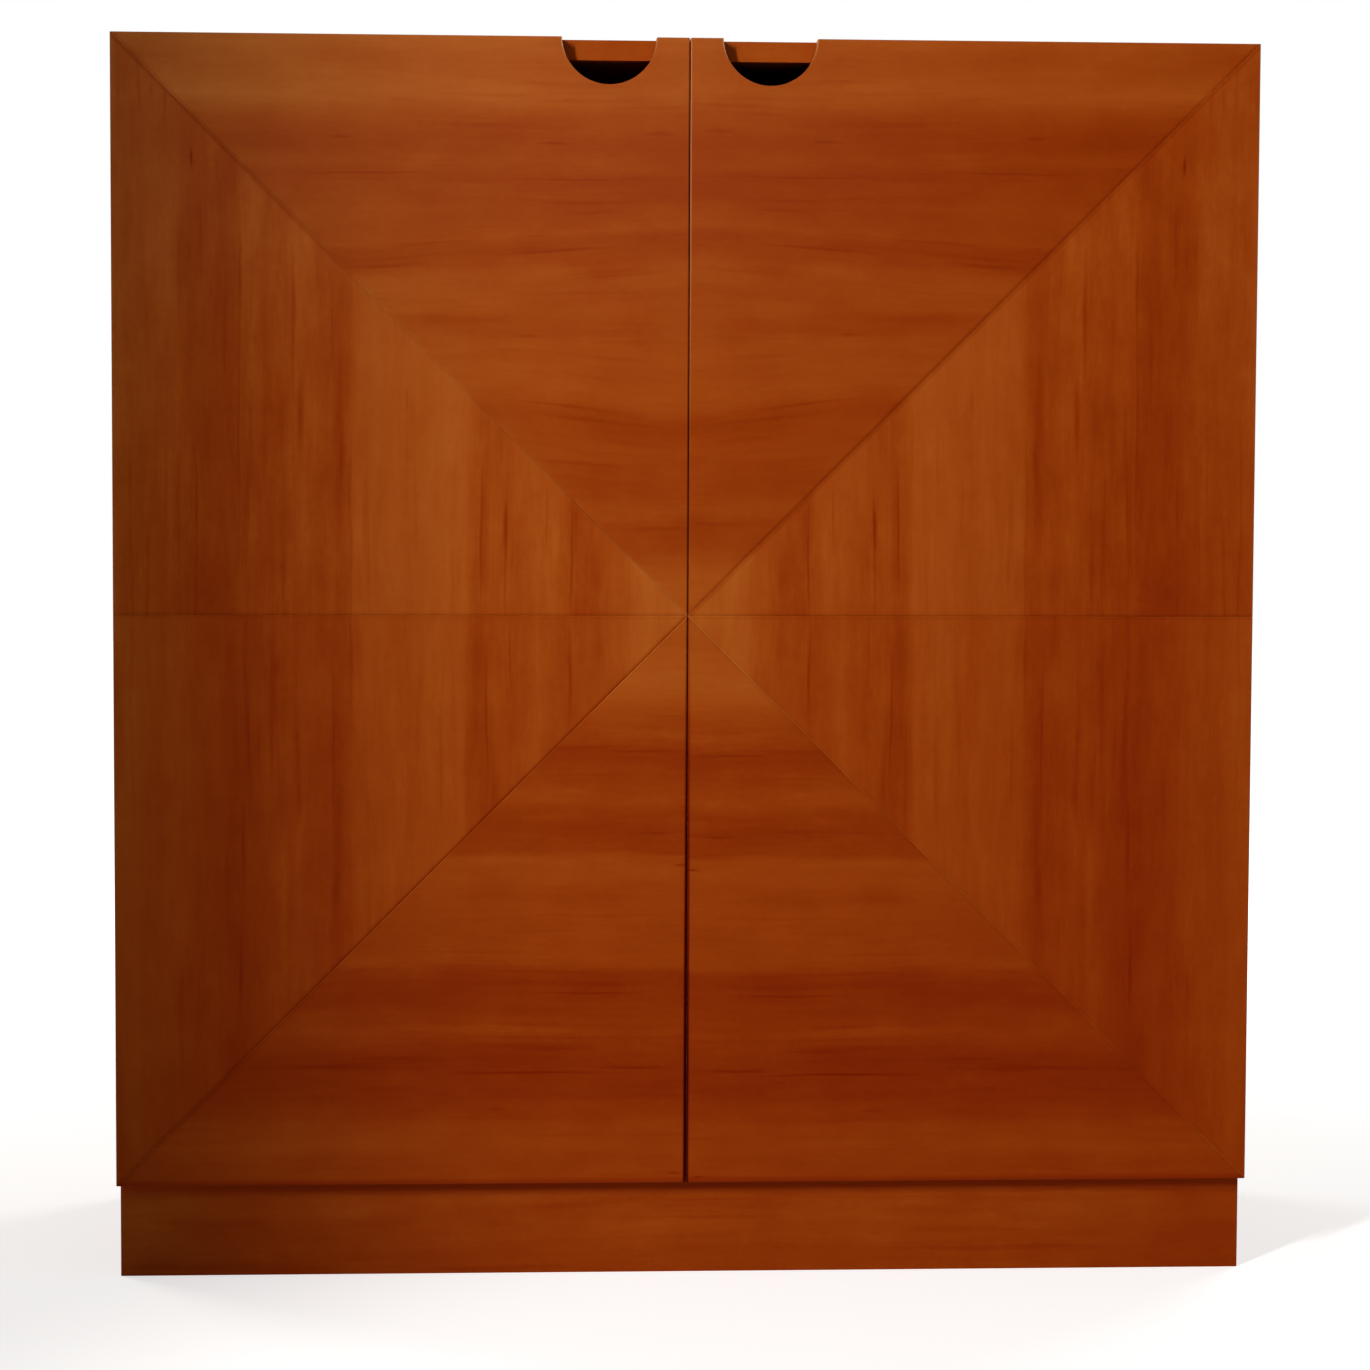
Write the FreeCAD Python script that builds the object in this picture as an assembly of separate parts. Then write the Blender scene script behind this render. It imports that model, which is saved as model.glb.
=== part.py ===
import FreeCAD, Part
import math
import os

# Tall two-door veneered cabinet on a plinth, in millimetres.
# +Z is up, the doors face -Y, and the origin is on the floor under the middle of the cabinet.

V = FreeCAD.Vector

# Overall
WIDTH = 1140.0               # over the two sides
DEPTH = 440.0                # door faces to rear edges
DOOR_HEIGHT = 1144.0         # above the plinth
PLINTH_HEIGHT = 96.0

# Carcass boards
BOARD = 20.0                 # sides, top, bottom and partition
EASE = 0.6                   # eased outer corners of carcass and plinth
BACK_BOARD = 8.0
BACK_RECESS = 1.0            # back panel behind the rear edges of the sides
REBATE = 9.0                 # how far the back panel lies in the boards
REBATE_CLEARANCE = 0.4
TONGUE_THICKNESS = 4.0       # loose tongues in the mitred top corners
TONGUE_WIDTH = 12.0
TONGUE_FROM_CORNER = 9.0     # along the mitre, from the inner corner
TONGUE_STOP = 25.0           # short of the front and of the back panel
DOWEL_RADIUS = 4.0
DOWEL_IN_FACE = 10.0
DOWEL_IN_END = 18.0
DOWEL_INSET = 70.0           # first and last dowel from the front and the back panel
DOWELS_PER_JOINT = 4
GLUE_GAP = 0.1               # round dowels and tongues

# Shelves
SHELF_BOARD = 18.0
SHELVES_PER_BAY = 2
SHELF_SETBACK = 25.0         # behind the front edges of the carcass
SHELF_BACK_GAP = 3.0
SHELF_END_GAP = 1.6          # to the side and to the partition
SUPPORT_SHANK = 2.5          # radius
SUPPORT_DEPTH = 7.0          # shank in the board
SUPPORT_WIDTH = 10.0
SUPPORT_PLATE = 1.2          # upright plate against the board
SUPPORT_HEIGHT = 13.0
SUPPORT_TAB = 3.0            # thickness under the shelf
SUPPORT_REACH = 11.0         # under the shelf, from the board
SUPPORT_INSET = 45.0         # from the front and back edges of the shelf
SUPPORT_FIT = 0.1
PIN_HOLE_PITCH = 32.0
SPARE_HOLES_PER_END = 1      # above and below each support

# Plinth
PLINTH_BOARD = 19.0
PLINTH_REVEAL = 2.0          # inside the outline of the carcass
CROSS_RAIL_LIFT = 8.0        # off the floor
CORNER_BLOCK = 36.0
CORNER_BLOCK_HEIGHT = 45.0

# Doors
DOOR_CORE = 16.0
VENEER = 1.5
EDGING = 2.0
LEAF_ARRIS = 0.5             # chamfer on the outer face edges of each veneer leaf
JOINT_ARRIS = 1.1            # where leaves meet, which leaves a V-groove, and between the doors
DOOR_TO_CARCASS = 2.5
DOOR_TO_DOOR = 1.2
DOOR_RISE = 1.0              # top edges of the doors above the carcass
SWING_CHAMFER = 1.5          # outer back edge of a door, which turns past the side
PULL_RADIUS = 47.0
PULL_FROM_MIDDLE = 80.0
PULL_RISE = 0.5              # centre of the half-round above the door's top edge
PULL_GLUE_GAP = 0.05

# Concealed hinges
HINGE_FROM_END = 110.0       # top and bottom hinge from the ends of the door
HINGES_PER_DOOR = 3
PIVOT_IN = 7.5               # from the outer face of the side
PIVOT_DEPTH = 9.0            # into the door from its back face
CUP_OFFSET = 13.5            # cup centre inwards of the pivot
CUP_RADIUS = 17.4
CUP_WALL = 0.8
CUP_FLOOR = 3.0              # inner floor beyond the pivot
CUP_CLEARANCE = 0.1
CUP_SPARE_DEPTH = 0.2
FLANGE = 1.0
FLANGE_RIM = 2.0
FLANGE_EDGE = 4.0            # flange stops this far outside the pivot
EAR_OFFSET = 9.5             # screw line inwards of the cup centre
EAR_SPACING = 48.0
EAR_RADIUS = 6.0
PIN_RADIUS = 1.5
PIN_FIT = 0.02               # pin in the lugs of the cup
EYE_FIT = 0.05               # arm's eye on the pin
EYE_RADIUS = 2.3
LUG_GAP = 0.3                # between the eye and each lug
LUG_LENGTH = 3.2
LUG_RADIUS = 2.8
ARM_WIDTH = 8.0
ARM_BLADE = 2.5              # flat part between the eye and the neck
NECK_GAP = 1.0               # off the inner face of the side
NECK = 5.0
ARM_BODY_WIDTH = 13.0
ARM_BODY_HEIGHT = 7.0
ARM_BODY_START = 6.0         # behind the front edges of the carcass
ARM_BODY_END = 62.0
ARM_JOIN = 4.0               # overlap of neck and body
ARM_ROUND = 1.5
PLATE_BASE = 3.0             # thickness of the mounting plate under the arm
PLATE_BASE_WIDTH = 16.0
PLATE_START = 14.0
PLATE_WING = 2.2
PLATE_WING_WIDTH = 16.0
PLATE_WING_SPAN = 48.0
PLATE_WING_CORNER = 5.8
PLATE_SCREW_SPACING = 32.0
PLATE_SCREW_LINE = 37.0      # behind the front edges of the carcass
ARM_SCREW_HEAD = 4.5
ARM_SCREW_HEAD_HEIGHT = 2.5
ARM_SCREW_RIM = 0.6
ARM_SCREW_SHANK = 2.9
ARM_SCREW_SPARE = 0.5        # end of the screw above the side
ADJUSTER_LINE = 20.0
ADJUSTER_SHANK = 2.5
ADJUSTER_PROUD = 0.8

# Magnetic catches
CATCH_DROP = 90.0            # middle of the catch below the door's top edge
CATCH_THICKNESS = 12.0
CATCH_HEIGHT = 46.0
CATCH_DEPTH = 18.0
CATCH_SETBACK = 0.8          # behind the front edges of the carcass
CATCH_ROUND = 1.5
MAGNET_THICKNESS = 7.0
MAGNET_HEIGHT = 26.0
MAGNET_DEPTH = 9.0
MAGNET_GAP = 0.3             # to the strike plate
MAGNET_FIT = 0.1
CATCH_SCREW_SPACING = 36.0
STRIKE_WIDTH = 14.0
STRIKE_HEIGHT = 38.0
STRIKE_THICKNESS = 1.5
STRIKE_CORNER = 1.5

# Bumpers on the door backs
BUMPER_RADIUS = 4.0
BUMPER_FROM_MIDDLE = 18.0
BUMPER_GAP = 0.3             # to the carcass

# Screws: head and shank radius, length
SCREW_RIM = 0.3              # straight edge of a countersunk head
SCREW_CLEARANCE = 0.1
RECESS_WIDTH = 0.9           # cross recess in the heads
RECESS_DEPTH = 1.0
BACK_SCREW_HEAD = 3.4
BACK_SCREW_SHANK = 1.6
BACK_SCREW_LENGTH = 24.0
BACK_SCREW_INSET = 60.0      # from the corners of the back panel
BACK_SCREWS_PER_SIDE = 4
BACK_SCREWS_PER_BAY = 3
PLINTH_SCREW_HEAD = 4.2
PLINTH_SCREW_SHANK = 2.2
PLINTH_SCREW_BITE = 13.0     # in the bottom panel
PLATE_SCREW_HEAD = 3.6
PLATE_SCREW_SHANK = 1.7
PLATE_SCREW_LENGTH = 14.0
CUP_SCREW_HEAD = 3.2
CUP_SCREW_SHANK = 1.6
CUP_SCREW_LENGTH = 13.0
CATCH_SCREW_HEAD = 2.8
CATCH_SCREW_SHANK = 1.4
CATCH_SCREW_BITE = 7.0       # in the partition
STRIKE_SCREW_HEAD = 2.6
STRIKE_SCREW_SHANK = 1.3
STRIKE_SCREW_LENGTH = 11.0

# Planes that the pieces share
SIDE_X = WIDTH / 2
INSIDE_X = SIDE_X - BOARD
DOOR = DOOR_CORE + 2 * VENEER
FRONT_Y = -DEPTH / 2
CARCASS_Y = FRONT_Y + DOOR + DOOR_TO_CARCASS
REAR_Y = DEPTH / 2
BACK_Y = REAR_Y - BACK_RECESS - BACK_BOARD
BASE_Z = PLINTH_HEIGHT
FLOOR_Z = BASE_Z + BOARD
TOP_Z = BASE_Z + DOOR_HEIGHT
ROOF_Z = TOP_Z - DOOR_RISE
CEILING_Z = ROOF_Z - BOARD
DOOR_WIDTH = SIDE_X - DOOR_TO_DOOR / 2
PARTITION_X = BOARD / 2
TINY = 1e-6

# Directions
LEFT = V(-1, 0, 0)
RIGHT = V(1, 0, 0)
FORWARD = V(0, -1, 0)
BACKWARD = V(0, 1, 0)
UP = V(0, 0, 1)
DOWN = V(0, 0, -1)


def block(x0, x1, y0, y1, z0, z1):
    return Part.makeBox(x1 - x0, y1 - y0, z1 - z0, V(x0, y0, z0))


def rod(point, direction, radius, length):
    return Part.makeCylinder(radius, length, point, direction)


def prism(points, along):
    return Part.Face(Part.makePolygon(points + points[:1])).extrude(along)


def turned(profile, point, direction):
    """Solid of revolution from (radius, height) points, heights running along the direction."""
    points = [V(radius, 0, height) for radius, height in profile]
    solid = Part.Face(Part.makePolygon(points + points[:1])).revolve(V(), UP, 360)
    solid.Placement = FreeCAD.Placement(point, FreeCAD.Rotation(UP, direction))
    return solid


def other_side(shape):
    return shape.mirror(V(), RIGHT)


def spread(first, last, count):
    return [first + (last - first) * i / (count - 1) for i in range(count)]


def screw(point, into, head, shank, length):
    """Countersunk screw with its head's top face at the point, and a cross recess."""
    neck = SCREW_RIM + head - shank
    profile = [(0, 0), (head, 0), (head, SCREW_RIM), (shank, neck), (shank, length - shank), (0, length)]
    solid = turned(profile, V(), UP)
    arm = head / 2
    bar = block(-arm, arm, -RECESS_WIDTH / 2, RECESS_WIDTH / 2, -RECESS_DEPTH, RECESS_DEPTH)
    cross = bar.fuse(bar.rotated(V(), UP, 90))
    solid = solid.cut(cross)
    solid.Placement = FreeCAD.Placement(point, FreeCAD.Rotation(UP, into))
    return solid


def screw_hole(point, into, head, shank, length):
    """Countersunk hole that takes the screw with a clearance all round."""
    gap = SCREW_CLEARANCE
    neck = SCREW_RIM + head - shank
    profile = [
        (0, -TINY),
        (head + gap, -TINY),
        (head + gap, SCREW_RIM),
        (shank + gap, neck),
        (shank + gap, length + gap),
        (0, length + gap),
    ]
    return turned(profile, point, into)


def edge_wedge(corner, a, b, along, size=EASE):
    """Prism that eases an outer edge; a and b point from the edge into its two faces."""
    outside = corner - a * size - b * size
    return prism([outside, corner + a * size, corner + b * size], along)


# Shelf heights, shared by the shelves, their supports and the holes
SHELF_SPACE = (CEILING_Z - FLOOR_Z - SHELVES_PER_BAY * SHELF_BOARD) / (SHELVES_PER_BAY + 1)
SHELF_UNDERSIDES = [
    FLOOR_Z + (i + 1) * SHELF_SPACE + i * SHELF_BOARD for i in range(SHELVES_PER_BAY)
]
SHELF_FRONT_Y = CARCASS_Y + SHELF_SETBACK
SHELF_REAR_Y = BACK_Y - SHELF_BACK_GAP
SUPPORT_YS = [SHELF_FRONT_Y + SUPPORT_INSET, SHELF_REAR_Y - SUPPORT_INSET]
SHANK_DROP = SUPPORT_HEIGHT / 2
DOWEL_YS = spread(CARCASS_Y + DOWEL_INSET, BACK_Y - DOWEL_INSET, DOWELS_PER_JOINT)


def support_holes(wall_x, into):
    """Rows of blind holes for the shelf supports, with the spare ones."""
    holes = []
    for underside in SHELF_UNDERSIDES:
        for y in SUPPORT_YS:
            for step in range(-SPARE_HOLES_PER_END, SPARE_HOLES_PER_END + 1):
                mouth = V(wall_x, y, underside - SHANK_DROP + step * PIN_HOLE_PITCH)
                holes.append(rod(mouth, into, SUPPORT_SHANK + SUPPORT_FIT, SUPPORT_DEPTH + SUPPORT_FIT))
    return holes


def dowel_holes(joints):
    """Holes on both sides of each dowel; a joint is a point and the direction into the end grain."""
    length = DOWEL_IN_FACE + DOWEL_IN_END + 2 * GLUE_GAP
    holes = []
    for point, into_end in joints:
        start = point - into_end * (DOWEL_IN_FACE + GLUE_GAP)
        holes.append(rod(start, into_end, DOWEL_RADIUS + GLUE_GAP, length))
    return holes


def dowels(joints):
    length = DOWEL_IN_FACE + DOWEL_IN_END
    return [rod(point - into * DOWEL_IN_FACE, into, DOWEL_RADIUS, length) for point, into in joints]


BOTTOM_MID_Z = BASE_Z + BOARD / 2
LEFT_JOINTS = [(V(-INSIDE_X, y, BOTTOM_MID_Z), RIGHT) for y in DOWEL_YS]
RIGHT_JOINTS = [(V(INSIDE_X, y, BOTTOM_MID_Z), LEFT) for y in DOWEL_YS]
FOOT_JOINTS = [(V(0, y, FLOOR_Z), UP) for y in DOWEL_YS]
HEAD_JOINTS = [(V(0, y, CEILING_Z), DOWN) for y in DOWEL_YS]


def left_tongue(gap):
    """Loose tongue across the left mitre, grown by a gap to cut its groove."""
    along_mitre = V(-1, 0, 1).normalize()
    across = V(1, 0, 1).normalize()
    middle = V(-INSIDE_X, CARCASS_Y + TONGUE_STOP - gap, CEILING_Z) + along_mitre * TONGUE_FROM_CORNER
    a = along_mitre * (TONGUE_THICKNESS / 2 + gap)
    b = across * (TONGUE_WIDTH / 2 + gap)
    length = BACK_Y - CARCASS_Y - 2 * TONGUE_STOP + 2 * gap
    return prism([middle - a - b, middle + a - b, middle + a + b, middle - a + b], BACKWARD * length)


BACK_EDGE_X = INSIDE_X + REBATE - REBATE_CLEARANCE
BACK_TOP_Z = CEILING_Z + REBATE - REBATE_CLEARANCE
BACK_LOW_Z = BASE_Z + REBATE_CLEARANCE


def back_screw_places():
    """Screws into the sides, the top, the bottom and the partition, from behind."""
    side_x = INSIDE_X + REBATE / 2
    low_z = BACK_LOW_Z + BACK_SCREW_INSET
    heights = spread(low_z, BACK_TOP_Z - BACK_SCREW_INSET, BACK_SCREWS_PER_SIDE)
    places = [(x, z) for x in (-side_x, side_x) for z in heights]
    near_x = PARTITION_X + BACK_SCREW_INSET
    far_x = INSIDE_X - BACK_SCREW_INSET
    for bay in (-1, 1):
        for x in spread(near_x, far_x, BACK_SCREWS_PER_BAY):
            places.append((bay * x, BOTTOM_MID_Z))
            places.append((bay * x, CEILING_Z + REBATE / 2))
    places += [(0, z) for z in heights[1:-1]]
    return [V(x, REAR_Y - BACK_RECESS, z) for x, z in places]


BACK_SCREW_PLACES = back_screw_places()
BACK_SCREW_SIZE = (BACK_SCREW_HEAD, BACK_SCREW_SHANK, BACK_SCREW_LENGTH)
BACK_SCREW_HOLES = [screw_hole(point, FORWARD, *BACK_SCREW_SIZE) for point in BACK_SCREW_PLACES]


# Hinge frame of the left side: u runs inwards from the side's outer face,
# v forwards from the front edges of the carcass
def at(u, v, z):
    return V(-SIDE_X + u, CARCASS_Y - v, z)


def slab(u0, u1, v0, v1, z0, z1):
    return block(-SIDE_X + u0, -SIDE_X + u1, CARCASS_Y - v1, CARCASS_Y - v0, z0, z1)


PIVOT_V = DOOR_TO_CARCASS + PIVOT_DEPTH
CUP_U = PIVOT_IN + CUP_OFFSET
CUP_DEPTH = PIVOT_DEPTH + CUP_FLOOR + CUP_WALL
EAR_U = CUP_U + EAR_OFFSET
FLANGE_V = DOOR_TO_CARCASS - FLANGE
PIN_HALF = ARM_WIDTH / 2 + LUG_GAP + LUG_LENGTH
PLATE_U = BOARD + PLATE_BASE
WING_U = BOARD + PLATE_WING
ARM_TOP_U = PLATE_U + ARM_BODY_HEIGHT
HINGE_ZS = spread(BASE_Z + HINGE_FROM_END, TOP_Z - HINGE_FROM_END, HINGES_PER_DOOR)
PLATE_SCREW_SIZE = (PLATE_SCREW_HEAD, PLATE_SCREW_SHANK, PLATE_SCREW_LENGTH)
CUP_SCREW_SIZE = (CUP_SCREW_HEAD, CUP_SCREW_SHANK, CUP_SCREW_LENGTH)


def plate_screw_points(z):
    return [at(WING_U, -PLATE_SCREW_LINE, z + side * PLATE_SCREW_SPACING / 2) for side in (-1, 1)]


def cup_screw_points(z):
    return [at(EAR_U, FLANGE_V, z + side * EAR_SPACING / 2) for side in (-1, 1)]


PLATE_SCREW_POINTS = [point for z in HINGE_ZS for point in plate_screw_points(z)]
CUP_SCREW_POINTS = [point for z in HINGE_ZS for point in cup_screw_points(z)]


def hinge_cup(z):
    """Cup with its flange, ears and the two lugs that hold the pin."""
    outer = rod(at(CUP_U, DOOR_TO_CARCASS, z), FORWARD, CUP_RADIUS, CUP_DEPTH)
    hollow_depth = FLANGE + CUP_DEPTH - CUP_WALL
    hollow = rod(at(CUP_U, FLANGE_V, z), FORWARD, CUP_RADIUS - CUP_WALL, hollow_depth)
    flange = rod(at(CUP_U, FLANGE_V, z), FORWARD, CUP_RADIUS + FLANGE_RIM, FLANGE)
    half = EAR_SPACING / 2
    ears = slab(EAR_U - EAR_RADIUS, EAR_U + EAR_RADIUS, FLANGE_V, DOOR_TO_CARCASS, z - half, z + half)
    ends = [rod(at(EAR_U, FLANGE_V, z + s * half), FORWARD, EAR_RADIUS, FLANGE) for s in (-1, 1)]
    flange = flange.fuse([ears] + ends)
    trim_u = PIVOT_IN - FLANGE_EDGE
    trim = slab(trim_u - CUP_RADIUS, trim_u, FLANGE_V, DOOR_TO_CARCASS, z - CUP_RADIUS, z + CUP_RADIUS)
    shell = outer.fuse(flange.cut(trim)).cut(hollow)
    lugs = []
    floor_v = PIVOT_V + CUP_FLOOR
    for low in (z - PIN_HALF, z + PIN_HALF - LUG_LENGTH):
        lug = rod(at(PIVOT_IN, PIVOT_V, low), UP, LUG_RADIUS, LUG_LENGTH)
        foot = slab(PIVOT_IN - LUG_RADIUS, PIVOT_IN + LUG_RADIUS, PIVOT_V, floor_v, low, low + LUG_LENGTH)
        lugs.append(lug.fuse(foot).common(outer))
    bore = rod(at(PIVOT_IN, PIVOT_V, z - PIN_HALF), UP, PIN_RADIUS + PIN_FIT, 2 * PIN_HALF)
    cup = shell.fuse(lugs).cut(bore)
    holes = [screw_hole(point, FORWARD, *CUP_SCREW_SIZE) for point in cup_screw_points(z)]
    return cup.cut(holes)


def hinge_pin(z):
    return rod(at(PIVOT_IN, PIVOT_V, z - PIN_HALF), UP, PIN_RADIUS, 2 * PIN_HALF)


def arm_screw_bores(z, gap):
    """Shank of the fixing screw and of the adjusting screw, through arm and plate."""
    low_u = BOARD + ARM_SCREW_SPARE - gap
    fixing = rod(at(low_u, -PLATE_SCREW_LINE, z), RIGHT, ARM_SCREW_SHANK + gap, ARM_TOP_U - low_u)
    adjuster_u = PLATE_U + ARM_SCREW_SPARE - gap
    reach = ARM_TOP_U + ADJUSTER_PROUD - adjuster_u
    adjuster = rod(at(adjuster_u, -ADJUSTER_LINE, z), RIGHT, ADJUSTER_SHANK + gap, reach)
    return fixing, adjuster


def hinge_arm(z):
    """Eye on the pin, flat blade, neck round the side's front edge and body on the plate."""
    half = ARM_WIDTH / 2
    neck_u = BOARD + NECK_GAP
    blade_v = PIVOT_V + ARM_BLADE / 2
    eye = rod(at(PIVOT_IN, PIVOT_V, z - half), UP, EYE_RADIUS, ARM_WIDTH)
    blade = slab(PIVOT_IN, neck_u + NECK, blade_v - ARM_BLADE, blade_v, z - half, z + half)
    neck = slab(neck_u, neck_u + NECK, -ARM_BODY_START - ARM_JOIN, blade_v, z - half, z + half)
    wide = ARM_BODY_WIDTH / 2
    body = slab(PLATE_U, ARM_TOP_U, -ARM_BODY_END, -ARM_BODY_START, z - wide, z + wide)
    top_x = at(ARM_TOP_U, 0, z).x
    top_edges = [e for e in body.Edges if all(abs(v.X - top_x) < TINY for v in e.Vertexes)]
    body = body.makeFillet(ARM_ROUND, top_edges)
    bore = rod(at(PIVOT_IN, PIVOT_V, z - half), UP, PIN_RADIUS + EYE_FIT, ARM_WIDTH)
    arm = eye.fuse([blade, neck, body]).removeSplitter().cut(bore)
    return arm.cut(list(arm_screw_bores(z, SCREW_CLEARANCE)))


def hinge_plate(z):
    """Mounting plate on the side's inner face: a base under the arm and two wings."""
    wide = PLATE_BASE_WIDTH / 2
    base = slab(BOARD, PLATE_U, -ARM_BODY_END, -PLATE_START, z - wide, z + wide)
    near = PLATE_SCREW_LINE - PLATE_WING_WIDTH / 2
    far = PLATE_SCREW_LINE + PLATE_WING_WIDTH / 2
    span = PLATE_WING_SPAN / 2
    wings = slab(BOARD, WING_U, -far, -near, z - span, z + span)
    corners = [e for e in wings.Edges if abs(e.Vertexes[0].X - e.Vertexes[1].X) > TINY]
    wings = wings.makeFillet(PLATE_WING_CORNER, corners)
    holes = [screw_hole(point, LEFT, *PLATE_SCREW_SIZE) for point in plate_screw_points(z)]
    return base.fuse(wings).removeSplitter().cut(holes + [arm_screw_bores(z, SCREW_CLEARANCE)[0]])


def arm_screws(z):
    """Pan-headed fixing screw and slotted adjusting screw of one arm."""
    fixing, adjuster = arm_screw_bores(z, 0)
    head = rod(at(ARM_TOP_U, -PLATE_SCREW_LINE, z), RIGHT, ARM_SCREW_HEAD, ARM_SCREW_HEAD_HEIGHT)
    head_top = ARM_TOP_U + ARM_SCREW_HEAD_HEIGHT
    rim = [e for e in head.Edges if all(abs(v.X - at(head_top, 0, z).x) < TINY for v in e.Vertexes)]
    head = head.makeChamfer(ARM_SCREW_RIM, rim)
    recesses = []
    for u, v in ((head_top, -PLATE_SCREW_LINE), (ARM_TOP_U + ADJUSTER_PROUD, -ADJUSTER_LINE)):
        long = ADJUSTER_SHANK
        short = RECESS_WIDTH / 2
        for a, b in ((long, short), (short, long)):
            bar = slab(u - RECESS_DEPTH, u + RECESS_DEPTH, v - a / 2, v + a / 2, z - b / 2, z + b / 2)
            recesses.append(bar)
    return [fixing.fuse(head).removeSplitter().cut(recesses), adjuster.cut(recesses)]


# Magnetic catch of the left door
CATCH_Z = TOP_Z - CATCH_DROP
CATCH_FRONT_Y = CARCASS_Y + CATCH_SETBACK
CATCH_X = -PARTITION_X - CATCH_THICKNESS
CATCH_MID_X = -PARTITION_X - CATCH_THICKNESS / 2
DOOR_BACK_Y = CARCASS_Y - DOOR_TO_CARCASS
STRIKE_BACK_Y = DOOR_BACK_Y + STRIKE_THICKNESS
MAGNET_Y = STRIKE_BACK_Y + MAGNET_GAP
CATCH_SCREW_SIZE = (CATCH_SCREW_HEAD, CATCH_SCREW_SHANK, CATCH_THICKNESS + CATCH_SCREW_BITE)
CATCH_SCREW_POINTS = [
    V(CATCH_X, CATCH_FRONT_Y + CATCH_DEPTH / 2, CATCH_Z + s * CATCH_SCREW_SPACING / 2) for s in (-1, 1)
]
STRIKE_SCREW_SIZE = (STRIKE_SCREW_HEAD, STRIKE_SCREW_SHANK, STRIKE_SCREW_LENGTH)
STRIKE_SCREW_POINT = V(CATCH_MID_X, STRIKE_BACK_Y, CATCH_Z)


def magnet(gap):
    half_x = MAGNET_THICKNESS / 2 + gap
    half_z = MAGNET_HEIGHT / 2 + gap
    return block(
        CATCH_MID_X - half_x, CATCH_MID_X + half_x,
        MAGNET_Y, MAGNET_Y + MAGNET_DEPTH + gap,
        CATCH_Z - half_z, CATCH_Z + half_z,
    )


def catch_body():
    half = CATCH_HEIGHT / 2
    rear_y = CATCH_FRONT_Y + CATCH_DEPTH
    body = block(CATCH_X, -PARTITION_X, CATCH_FRONT_Y, rear_y, CATCH_Z - half, CATCH_Z + half)
    outer = [e for e in body.Edges if all(abs(v.X - CATCH_X) < TINY for v in e.Vertexes)]
    body = body.makeFillet(CATCH_ROUND, outer)
    holes = [screw_hole(point, RIGHT, *CATCH_SCREW_SIZE) for point in CATCH_SCREW_POINTS]
    return body.cut([magnet(MAGNET_FIT)] + holes)


def strike_plate():
    half = STRIKE_HEIGHT / 2
    wide = STRIKE_WIDTH / 2
    plate = block(
        CATCH_MID_X - wide, CATCH_MID_X + wide, DOOR_BACK_Y, STRIKE_BACK_Y, CATCH_Z - half, CATCH_Z + half
    )
    corners = [e for e in plate.Edges if abs(e.Vertexes[0].Y - e.Vertexes[1].Y) > TINY]
    hole = screw_hole(STRIKE_SCREW_POINT, FORWARD, *STRIKE_SCREW_SIZE)
    return plate.makeFillet(STRIKE_CORNER, corners).cut(hole)


# Left door
CORE_V0 = DOOR_TO_CARCASS + VENEER
CORE_V1 = CORE_V0 + DOOR_CORE
FACE_V = CORE_V1 + VENEER
PULL_U = SIDE_X - PULL_FROM_MIDDLE
PULL_Z = TOP_Z + PULL_RISE


def pull_cylinder(radius):
    return rod(at(PULL_U, DOOR_TO_CARCASS, PULL_Z), FORWARD, radius, DOOR)


def swing_wedge():
    """Prism that takes off the outer back edge of the door."""
    c = SWING_CHAMFER
    v = DOOR_TO_CARCASS
    return prism([at(-c, v - c, BASE_Z), at(c, v, BASE_Z), at(0, v + c, BASE_Z)], UP * DOOR_HEIGHT)


def cup_holes():
    depth = CUP_DEPTH + CUP_SPARE_DEPTH
    radius = CUP_RADIUS + CUP_CLEARANCE
    cups = [rod(at(CUP_U, DOOR_TO_CARCASS, z), FORWARD, radius, depth) for z in HINGE_ZS]
    screws = [screw_hole(point, FORWARD, *CUP_SCREW_SIZE) for point in CUP_SCREW_POINTS]
    return cups + screws + [screw_hole(STRIKE_SCREW_POINT, FORWARD, *STRIKE_SCREW_SIZE)]


def door_core():
    core = slab(EDGING, DOOR_WIDTH - EDGING, CORE_V0, CORE_V1, BASE_Z + EDGING, TOP_Z - EDGING)
    return core.cut([pull_cylinder(PULL_RADIUS + EDGING)] + cup_holes())


def door_edging():
    """Strips round the core, with a bent one in the half-round pull."""
    inner = DOOR_WIDTH - EDGING
    outer_strip = slab(0, EDGING, CORE_V0, CORE_V1, BASE_Z, TOP_Z).cut(swing_wedge())
    meeting_strip = slab(inner, DOOR_WIDTH, CORE_V0, CORE_V1, BASE_Z, TOP_Z)
    low_strip = slab(EDGING, inner, CORE_V0, CORE_V1, BASE_Z, BASE_Z + EDGING)
    top_strip = slab(EDGING, inner, CORE_V0, CORE_V1, TOP_Z - EDGING, TOP_Z)
    top_strips = top_strip.cut(pull_cylinder(PULL_RADIUS + EDGING))
    ring = pull_cylinder(PULL_RADIUS + EDGING - PULL_GLUE_GAP).cut(pull_cylinder(PULL_RADIUS))
    bent_strip = ring.common(slab(0, DOOR_WIDTH, CORE_V0, CORE_V1, BASE_Z, TOP_Z))
    return [outer_strip, meeting_strip, low_strip, top_strips, bent_strip]


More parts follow.
